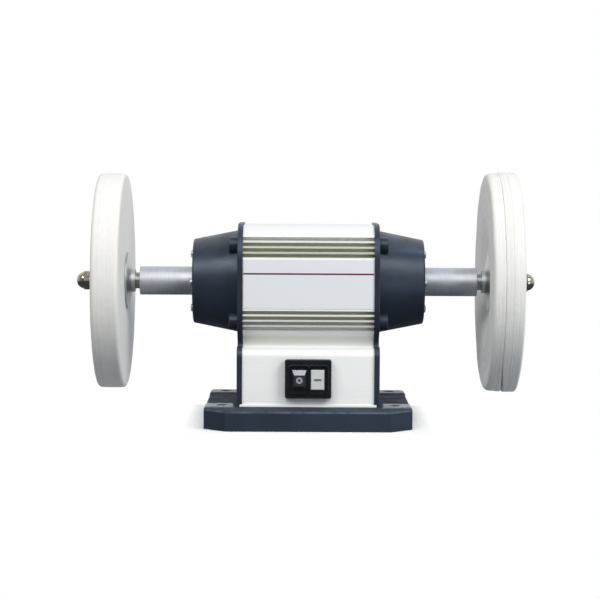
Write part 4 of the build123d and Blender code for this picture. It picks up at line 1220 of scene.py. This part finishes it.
@dataclass
class CottonSection(Assembly):
    """One sewn section of the cotton wheel: plies at the rim, valleys along the seams, stitches in them."""

    node: str
    clamped_start: float
    clamped_end: float
    stitched: tuple[Side, ...]
    seed: int
    rim_taper: float = 0.0
    bore: float = 6.1 * MM
    flat_radius: float = 20 * MM
    pinched_radius: float = 29 * MM
    full_radius: float = 61 * MM
    rim_flat: float = 9 * MM
    edge_gap: float = 1.2 * MM
    edge_radius: float = 3.4 * MM
    meeting_radius: float = 0.5 * MM
    meeting_gap: float = 0.06 * MM
    meeting_shift: float = -3.5 * MM
    slack: float = 6.0 * MM
    slack_opening: float = 2.6 * MM
    slack_start: float = 0.65
    slack_radius: float = 100 * MM
    ply_thickness: float = 1.2 * MM
    ply_notch: float = 0.16 * MM
    ply_spread: float = 0.16 * MM
    # Place in a ply's thickness, and share of the notch there
    ply_line: tuple[Range, ...] = ((0.1, 1.0), (0.32, 0.12), (0.68, 0.0), (0.9, 0.85))
    # Size and depth of the cloth's waves along X, and of its puckers
    waves: Range = (40 * MM, 0.8 * MM)
    puckers: Range = (14 * MM, 0.25 * MM)
    seam_radii: tuple[float, ...] = tuple(radius * MM for radius in (37, 46.5, 56, 65.5, 75, 84.5))
    seam_depth: float = 0.3 * MM
    # Distance from a seam, and share of its depth there
    seam_line: tuple[Range, ...] = ((-3.6 * MM, 0.0), (-1.5 * MM, 0.35), (0, 1.0), (1.5 * MM, 0.35))
    stitch_pitch: float = 5.5 * MM
    stitch_length: float = 3.4 * MM
    stitch_width: float = 0.6 * MM
    stitch_sides: int = 6
    stitch_sink: float = 0.1 * MM
    steps: int = 216

    def edge(self, side: Side) -> float:
        """Radius of the rim's corner on one side; it is small where the sections meet."""
        return self.edge_radius if side in self.stitched else self.meeting_radius

    def swell(self, radius: float, clamped: float, full: float) -> float:
        """Swelling of a face from the flanges to the rim.

        Args:
            radius: Where it is asked for.
            clamped: Place of the face between the flanges.
            full: Its place at the rim.

        Returns:
            Its place along X at that radius.
        """
        share = (radius - self.pinched_radius) / (self.full_radius - self.pinched_radius)
        share = min(1.0, max(0.0, share))
        return clamped + (full - clamped) * share * share * (3 - 2 * share)

    def face(self, side: Side, clamped: float, full: float, rim: float) -> Line:
        """One face from the bore to the rim's corner.

        Args:
            side: Where it looks.
            clamped: Its place between the flanges.
            full: Its place at the rim.
            rim: Outer radius.

        Returns:
            Points of (x, radius).
        """
        radii = [(radius, 0.0) for radius in (self.bore, self.flat_radius, self.pinched_radius)]
        radii += [(seam + away, share) for seam in self.seam_radii for away, share in self.seam_line]
        radii += [(rim - self.rim_flat, 0.0), (rim - self.edge(side) - self.edge_gap, 0.0)]
        depth = -side.value * self.seam_depth
        return [(self.swell(radius, clamped, full) + share * depth, radius) for radius, share in radii]

    def rim_line(self, start: float, end: float, rim: float) -> Line:
        """Rim of separate plies between two faces, rounded at the corners.

        Args:
            start: Left end of the rim along X.
            end: Right end of the rim along X.
            rim: Outer radius.

        Returns:
            Points of (x, radius).
        """
        random = Random(self.seed)
        plies = round((end - start) / self.ply_thickness)
        thickness = (end - start) / plies
        line = []
        for ply in range(plies):
            lift = random.uniform(-self.ply_spread, 0)
            for share, notch in self.ply_line:
                x = start + (ply + share) * thickness
                radius = self.edge(Side.LEFT if x - start < end - x else Side.RIGHT)
                inset = min(x - start, end - x, radius)
                rounding = radius - sqrt(radius ** 2 - (radius - inset) ** 2)
                taper = self.rim_taper * (x - start) / (end - start)
                line.append((x, rim + taper + lift - notch * self.ply_notch - rounding))
        return line

    def rim_span(self) -> Range:
        """Ends of the rim; the sections meet a little inside the solids' own plane.

        Returns:
            Left and right end along X.
        """
        low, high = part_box(self.node)
        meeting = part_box("cotton_wheel_outer")[0].x + self.meeting_shift
        if Side.RIGHT in self.stitched:
            return meeting, high.x
        return low.x, meeting - self.meeting_gap

    def line(self) -> Line:
        """Profile of the section, up the left face and down the right one.

        Returns:
            Points of (x, radius), closed by the last one.
        """
        low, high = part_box(self.node)
        rim = (high.z - low.z) / 2
        start, end = self.rim_span()
        first = self.face(Side.LEFT, self.clamped_start, start, rim)
        last = self.face(Side.RIGHT, self.clamped_end, end, rim)
        return first + self.rim_line(start, end, rim) + last[::-1]

    def looseness(self, place: Vector) -> float:
        """How free the cloth is at a point, 0 between the flanges and 1 near the rim."""
        radius = sqrt(place.y ** 2 + (place.z - AXIS_Z) ** 2)
        return min(1.0, max(0.0, (radius - self.pinched_radius) / self.full_radius))

    def sag(self, place: Vector, start: float, end: float) -> float:
        """How far the meeting face has slipped at a point: only low down, and less towards the outer face.

        Args:
            place: The point.
            start: Left end of the rim along X.
            end: Right end of the rim along X.

        Returns:
            Share of the whole slack, 0 to 1.
        """
        near = (place.x - start) / (end - start)
        near = 1 - near if Side.RIGHT in self.stitched else near
        depth = (AXIS_Z - place.z) / self.slack_radius
        low = max(0.0, (depth - self.slack_start) / (1 - self.slack_start))
        return min(1.0, max(0.0, near)) * min(1.0, low * low) * self.looseness(place)

    def cloth(self) -> bpy.types.Object:
        """Turn the profile and let the cloth wave towards its rim.

        Returns:
            The section without its stitches.
        """
        model = Model(f"{self.node}_dressed")
        model.profile(self.line())
        model.turn(self.steps)
        piece = model.end(angle=60)
        loose = piece.vertex_groups.new(name="loose")
        slipped = piece.vertex_groups.new(name="slipped")
        span = self.rim_span()
        for vertex in piece.data.vertices:
            loose.add([vertex.index], self.looseness(vertex.co), "REPLACE")
            slipped.add([vertex.index], self.sag(vertex.co, *span), "REPLACE")
        opening = 0 if Side.RIGHT in self.stitched else self.slack_opening
        model.slide(self.slack - opening, "slipped")
        model.ruffle(*self.waves, "loose", Push.SIDEWAYS)
        model.ruffle(*self.puckers, "loose")
        return piece

    def stitches(self, side: Side) -> bpy.types.Object:
        """Rows of short threads in the seams of one face.

        Args:
            side: Where the face looks.

        Returns:
            All the threads as one piece.
        """
        start, end = self.rim_span()
        clamped, full = (self.clamped_start, start) if side is Side.LEFT else (self.clamped_end, end)
        model = Model(f"{self.node}_stitches")
        for seam in self.seam_radii:
            x = self.swell(seam, clamped, full) - side.value * (self.seam_depth + self.stitch_sink)
            model.also(
                bpy.ops.mesh.primitive_cylinder_add,
                vertices=self.stitch_sides,
                radius=self.stitch_width / 2,
                depth=self.stitch_length,
                location=(x, 0, AXIS_Z + seam),
                rotation=(pi / 2, 0, 0),
            )
            bpy.ops.mesh.bevel(offset=self.stitch_width / 5, segments=1, affect="EDGES")
            count = int(2 * pi * seam / self.stitch_pitch)
            model.copy_round(count, center=(0, 0, AXIS_Z), axis=(1, 0, 0))
        model.face_out()
        return model.end(angle=60)

    def build(self) -> list[bpy.types.Object]:
        """Model the cloth, and stitches on the faces that show.

        Returns:
            The cloth and its stitches.
        """
        pieces = [self.settle(self.cloth(), Body.SPINDLE, "cotton", self.node)]
        for side in self.stitched:
            pieces.append(self.settle(self.stitches(side), Body.SPINDLE, "cotton"))
        return pieces


# Switch and gland
@dataclass
class SwitchSigns(Assembly):
    """Signs on the push buttons: a ring on the stop button, a bar on the start button."""

    ring_outer: float = 2.95 * MM
    ring_inner: float = 1.25 * MM
    ring_drop: float = 0.35 * MM
    ring_points: int = 40
    bar_length: float = 7.0 * MM
    bar_height: float = 1.9 * MM
    bar_rounding: float = 0.35
    inlay: float = 0.12 * MM

    @staticmethod
    def front(node: str, drop: float = 0.0) -> Triple:
        """Middle of a button's front face, or a point a little below it."""
        low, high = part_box(node)
        return (low.x + high.x) / 2, low.y, (low.z + high.z) / 2 - drop

    def rounded(self, model: Model, face: float) -> bpy.types.Object:
        """Round the front edges of a sign and leave edit mode.

        Args:
            model: The sign.
            face: Place of the button's face along Y.

        Returns:
            The finished sign.
        """
        model.pick(Element.EDGE, lambda point: point.y < face - self.inlay * NEARLY)
        bpy.ops.mesh.bevel(offset=self.inlay / 3, segments=2, affect="EDGES")
        return model.end(angle=35)

    def ring(self) -> bpy.types.Object:
        """Flat ring with a rounded edge on the stop button's face.

        Returns:
            The stop button's sign.
        """
        place = self.front("stop_button", self.ring_drop)
        model = Model("stop_sign")
        model.begin(
            bpy.ops.mesh.primitive_circle_add,
            vertices=self.ring_points,
            radius=self.ring_outer,
            location=place,
            rotation=(pi / 2, 0, 0),
        )
        bpy.ops.mesh.extrude_region_move(TRANSFORM_OT_translate={"value": (0, 0, 0)})
        share = self.ring_inner / self.ring_outer
        bpy.ops.transform.resize(value=(share, 1, share), center_override=place)
        bpy.ops.mesh.select_all(action="SELECT")
        bpy.ops.mesh.extrude_region_move(TRANSFORM_OT_translate={"value": (0, -self.inlay, 0)})
        model.close()
        return self.rounded(model, place[1])

    def bar(self) -> bpy.types.Object:
        """Short bar with rounded ends, let into the start button's face.

        Returns:
            The start button's sign.
        """
        place = self.front("start_button")
        size = (self.bar_length, self.inlay * 2, self.bar_height)
        model = Model("start_sign")
        model.begin(bpy.ops.mesh.primitive_cube_add, size=1, location=place, scale=size)
        model.pick(Element.EDGE, lambda point: abs(point.y - place[1]) < self.inlay / 2)
        bpy.ops.mesh.bevel(offset=self.bar_height * self.bar_rounding, segments=4, affect="EDGES")
        return self.rounded(model, place[1])

    def build(self) -> list[bpy.types.Object]:
        """Model both signs, each riding on its button.

        Returns:
            The ring and the bar.
        """
        return [
            self.settle(self.ring(), Body.STOP, "stop_black", finish="ring_print"),
            self.settle(self.bar(), Body.START, "start_white", finish="bar_print"),
        ]


@dataclass
class GlandGrip(Assembly):
    """Grip ribs round the cable gland's cap."""

    count: int = 24
    rib_width: float = 1.1 * MM
    rib_height: float = 0.55 * MM
    rib_length: float = 7.5 * MM
    rib_rounding: float = 0.6
    setback: float = 1.2 * MM

    def build(self) -> list[bpy.types.Object]:
        """One rounded rib, copied round the cap.

        Returns:
            All the ribs as one piece.
        """
        low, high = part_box("cable_gland_cap")
        middle = Vector(((low.x + high.x) / 2, (low.y + high.y) / 2 - self.setback, (low.z + high.z) / 2))
        radius = (high.z - low.z) / 2
        model = Model("gland_grip")
        size = (self.rib_width, self.rib_length, 2 * self.rib_height)
        model.begin(bpy.ops.mesh.primitive_cube_add, size=1, location=middle + Vector((0, 0, radius)), scale=size)
        top = middle.z + radius
        model.pick(Element.EDGE, lambda point: point.z > top + self.rib_height * NEARLY)
        bpy.ops.mesh.bevel(offset=self.rib_height * self.rib_rounding, segments=2, affect="EDGES")
        bpy.ops.mesh.select_all(action="SELECT")
        model.copy_round(self.count, center=middle, axis=(0, 1, 0))
        model.face_out()
        return [self.settle(model.end(), Body.FRAME, "gland_plastic")]


# Studio
@dataclass(frozen=True)
class Lamp:
    """One soft rectangular lamp."""

    name: str
    place: Triple
    size: Range
    watts: float
    colour: Colour = WHITE
    aim: Triple = (0, 0, 0.12)

    def hang(self) -> None:
        """Add the lamp and turn it to its aim."""
        data = bpy.data.lights.new(self.name, "AREA")
        data.shape = "RECTANGLE"
        data.size, data.size_y = self.size
        data.energy = self.watts
        data.color = self.colour
        lamp = bpy.data.objects.new(self.name, data)
        lamp.location = self.place
        way = Vector(self.aim) - Vector(self.place)
        lamp.rotation_euler = way.to_track_quat("-Z", "Y").to_euler()
        bpy.context.scene.collection.objects.link(lamp)


@dataclass
class Studio:
    """Pale floor, soft lamps, pale surroundings and the camera."""

    lamps: tuple[Lamp, ...] = (
        Lamp("key_lamp", (1.25, -1.0, 1.35), (0.8, 0.8), 19, (1, 0.98, 0.95)),
        Lamp("fill_lamp", (-1.01, -1.18, 1.4), (0.8, 0.8), 12.7, (0.98, 0.985, 1)),
        Lamp("front_lamp", (0, -1.5, 1.15), (1.2, 0.9), 11),
        Lamp("strip_lamp", (0, -0.9, 1.75), (0.5, 0.22), 3.2, (0.86, 0.92, 1)),
        Lamp("glint_lamp", (0.64, 0.09, 1.67), (0.24, 0.24), 1.5, (0.5, 0.66, 1)),
        Lamp("low_lamp", (0.6, -0.6, 0.06), (0.4, 0.3), 0.95, (0.74, 0.87, 1)),
    )
    floor_size: float = 5.0
    floor_cuts: int = 7
    floor_drop: float = 0.0002
    floor_colour: Colour = (0.92, 0.92, 0.92)
    floor_bounce: Colour = (0.25, 0.285, 0.37)
    floor_gloss: Colour = (0.09, 0.1, 0.12)
    floor_reach: Range = (0.092, 0.09)
    floor_fade: Range = (0.0, 0.022)
    floor_backdrop: Range = (-0.05, 0.3)
    front_light: Colour = (0.08, 0.09, 0.11)
    back_light: Colour = (0.5, 0.53, 0.58)
    left_light: Colour = (0.46, 0.46, 0.455)
    right_light: Colour = (0.72, 0.74, 0.77)
    side_span: Range = (-0.3, 0.3)
    backdrop: Range = (-0.15, 0.35)
    horizon: Range = (-0.25, 0.0)
    camera_place: Triple = (-0.00869, -1.8676, 0.23196)
    lens: float = 120.018
    sensor: float = 36
    yaw: float = -0.029
    pitch: float = 3.680
    roll: float = 0.304

    @staticmethod
    def seen(graph: Graph, behind: Socket) -> Socket:
        """Share of the white that a ray sees.

        Args:
            graph: Nodes to add to.
            behind: 1 behind the machine, 0 in front of it, where the studio is dim.

        Returns:
            1 for the camera, and for gloss and glass what lies behind the machine.
        """
        path = graph.add("ShaderNodeLightPath")
        mirrored = graph.math(Operation.MAXIMUM, path.outputs["Is Glossy Ray"], path.outputs["Is Transmission Ray"])
        return graph.math(Operation.MAXIMUM, path.outputs["Is Camera Ray"], graph.times(mirrored, behind))

    def surroundings(self) -> None:
        """White for the eye and for gloss, a soft cool light for everything else."""
        world = bpy.data.worlds.new("surroundings")
        bpy.context.scene.world = world
        graph = Graph.of_world(world)
        behind = graph.span(graph.axis(Axis.Y), *self.backdrop)
        light = graph.blend(behind, self.front_light, self.back_light)
        across = graph.axis(Axis.X)
        sides = graph.blend(graph.span(across, *self.side_span), self.left_light, self.right_light)
        light = graph.blend(graph.times(across, across), light, sides)
        above = graph.span(graph.axis(Axis.Z), *self.horizon)
        glossy = graph.add("ShaderNodeLightPath").outputs["Is Glossy Ray"]
        below = graph.times(glossy, graph.math(Operation.SUBTRACT, 1.0, above))
        light = graph.blend(below, light, self.floor_gloss)
        white = self.seen(graph, graph.times(behind, above))
        shown = world.node_tree.nodes["Background"]
        graph.feed(shown.inputs["Color"], graph.blend(white, light, WHITE))

    def floor(self) -> None:
        """Pale floor that keeps the shadow and fades into the white."""
        model = Model("floor")
        model.begin(bpy.ops.mesh.primitive_plane_add, size=self.floor_size, location=(0, 0, -self.floor_drop))
        bpy.ops.mesh.subdivide(number_cuts=self.floor_cuts)
        piece = model.end()
        material = bpy.data.materials.new("floor_paint")
        graph = Graph.of_material(material)
        tree = graph.tree
        tree.nodes.remove(graph.shader)
        pale = graph.add("ShaderNodeBsdfDiffuse")
        behind = graph.span(graph.axis(Axis.Y), *self.floor_backdrop)
        glossy = graph.add("ShaderNodeLightPath").outputs["Is Glossy Ray"]
        dim = graph.blend(glossy, self.floor_bounce, self.floor_gloss)
        graph.feed(pale.inputs["Color"], graph.blend(self.seen(graph, behind), dim, self.floor_colour))
        past = []
        for name, reach in zip((Axis.X, Axis.Y), self.floor_reach):
            past.append(graph.math(Operation.SUBTRACT, graph.math(Operation.ABSOLUTE, graph.axis(name)), reach))
        fade = graph.span(graph.math(Operation.MAXIMUM, *past), *self.floor_fade)
        mix = graph.add("ShaderNodeMixShader")
        clear = graph.add("ShaderNodeBsdfTransparent")
        for target, value in zip(mix.inputs, (fade, pale.outputs[0], clear.outputs[0])):
            graph.feed(target, value)
        graph.feed(tree.nodes["Material Output"].inputs["Surface"], mix.outputs[0])
        piece.data.materials.append(material)

    def camera(self) -> None:
        """Camera at the photograph's place."""
        data = bpy.data.cameras.new("camera")
        data.lens = self.lens
        data.sensor_width = self.sensor
        camera = bpy.data.objects.new("camera", data)
        camera.location = self.camera_place
        turn = Matrix.Rotation(radians(self.yaw), 3, "Z") @ Matrix.Rotation(radians(90 - self.pitch), 3, "X")
        camera.rotation_euler = (turn @ Matrix.Rotation(radians(self.roll), 3, "Z")).to_euler()
        bpy.context.scene.collection.objects.link(camera)
        bpy.context.scene.camera = camera

    def build(self) -> None:
        """Set up the whole studio."""
        bpy.context.scene.view_settings.view_transform = "Standard"
        self.surroundings()
        self.floor()
        for lamp in self.lamps:
            lamp.hang()
        self.camera()


def main() -> None:
    """Dress the frame, build the new pieces and the studio, and note the sizes."""
    logging.basicConfig(level=logging.INFO, format="%(message)s")
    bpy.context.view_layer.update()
    wardrobe = Wardrobe()
    wardrobe.dress_nodes()
    inner = CottonSection(
        wardrobe,
        node="cotton_wheel_inner",
        clamped_start=169.5 * MM,
        clamped_end=179.3 * MM,
        stitched=(Side.LEFT,),
        seed=3,
        rim_taper=1.2 * MM,
    )
    outer = CottonSection(
        wardrobe,
        node="cotton_wheel_outer",
        clamped_start=179.5 * MM,
        clamped_end=189.5 * MM,
        stitched=(Side.RIGHT,),
        seed=8,
    )
    assemblies: list[Assembly] = [FeltWheel(wardrobe), inner, outer, SwitchSigns(wardrobe), GlandGrip(wardrobe)]
    for assembly in assemblies:
        for piece in assembly.build():
            log.info("%s: %d faces", piece.name, len(piece.data.polygons))
    Studio().build()


if __name__ == "__main__":
    main()
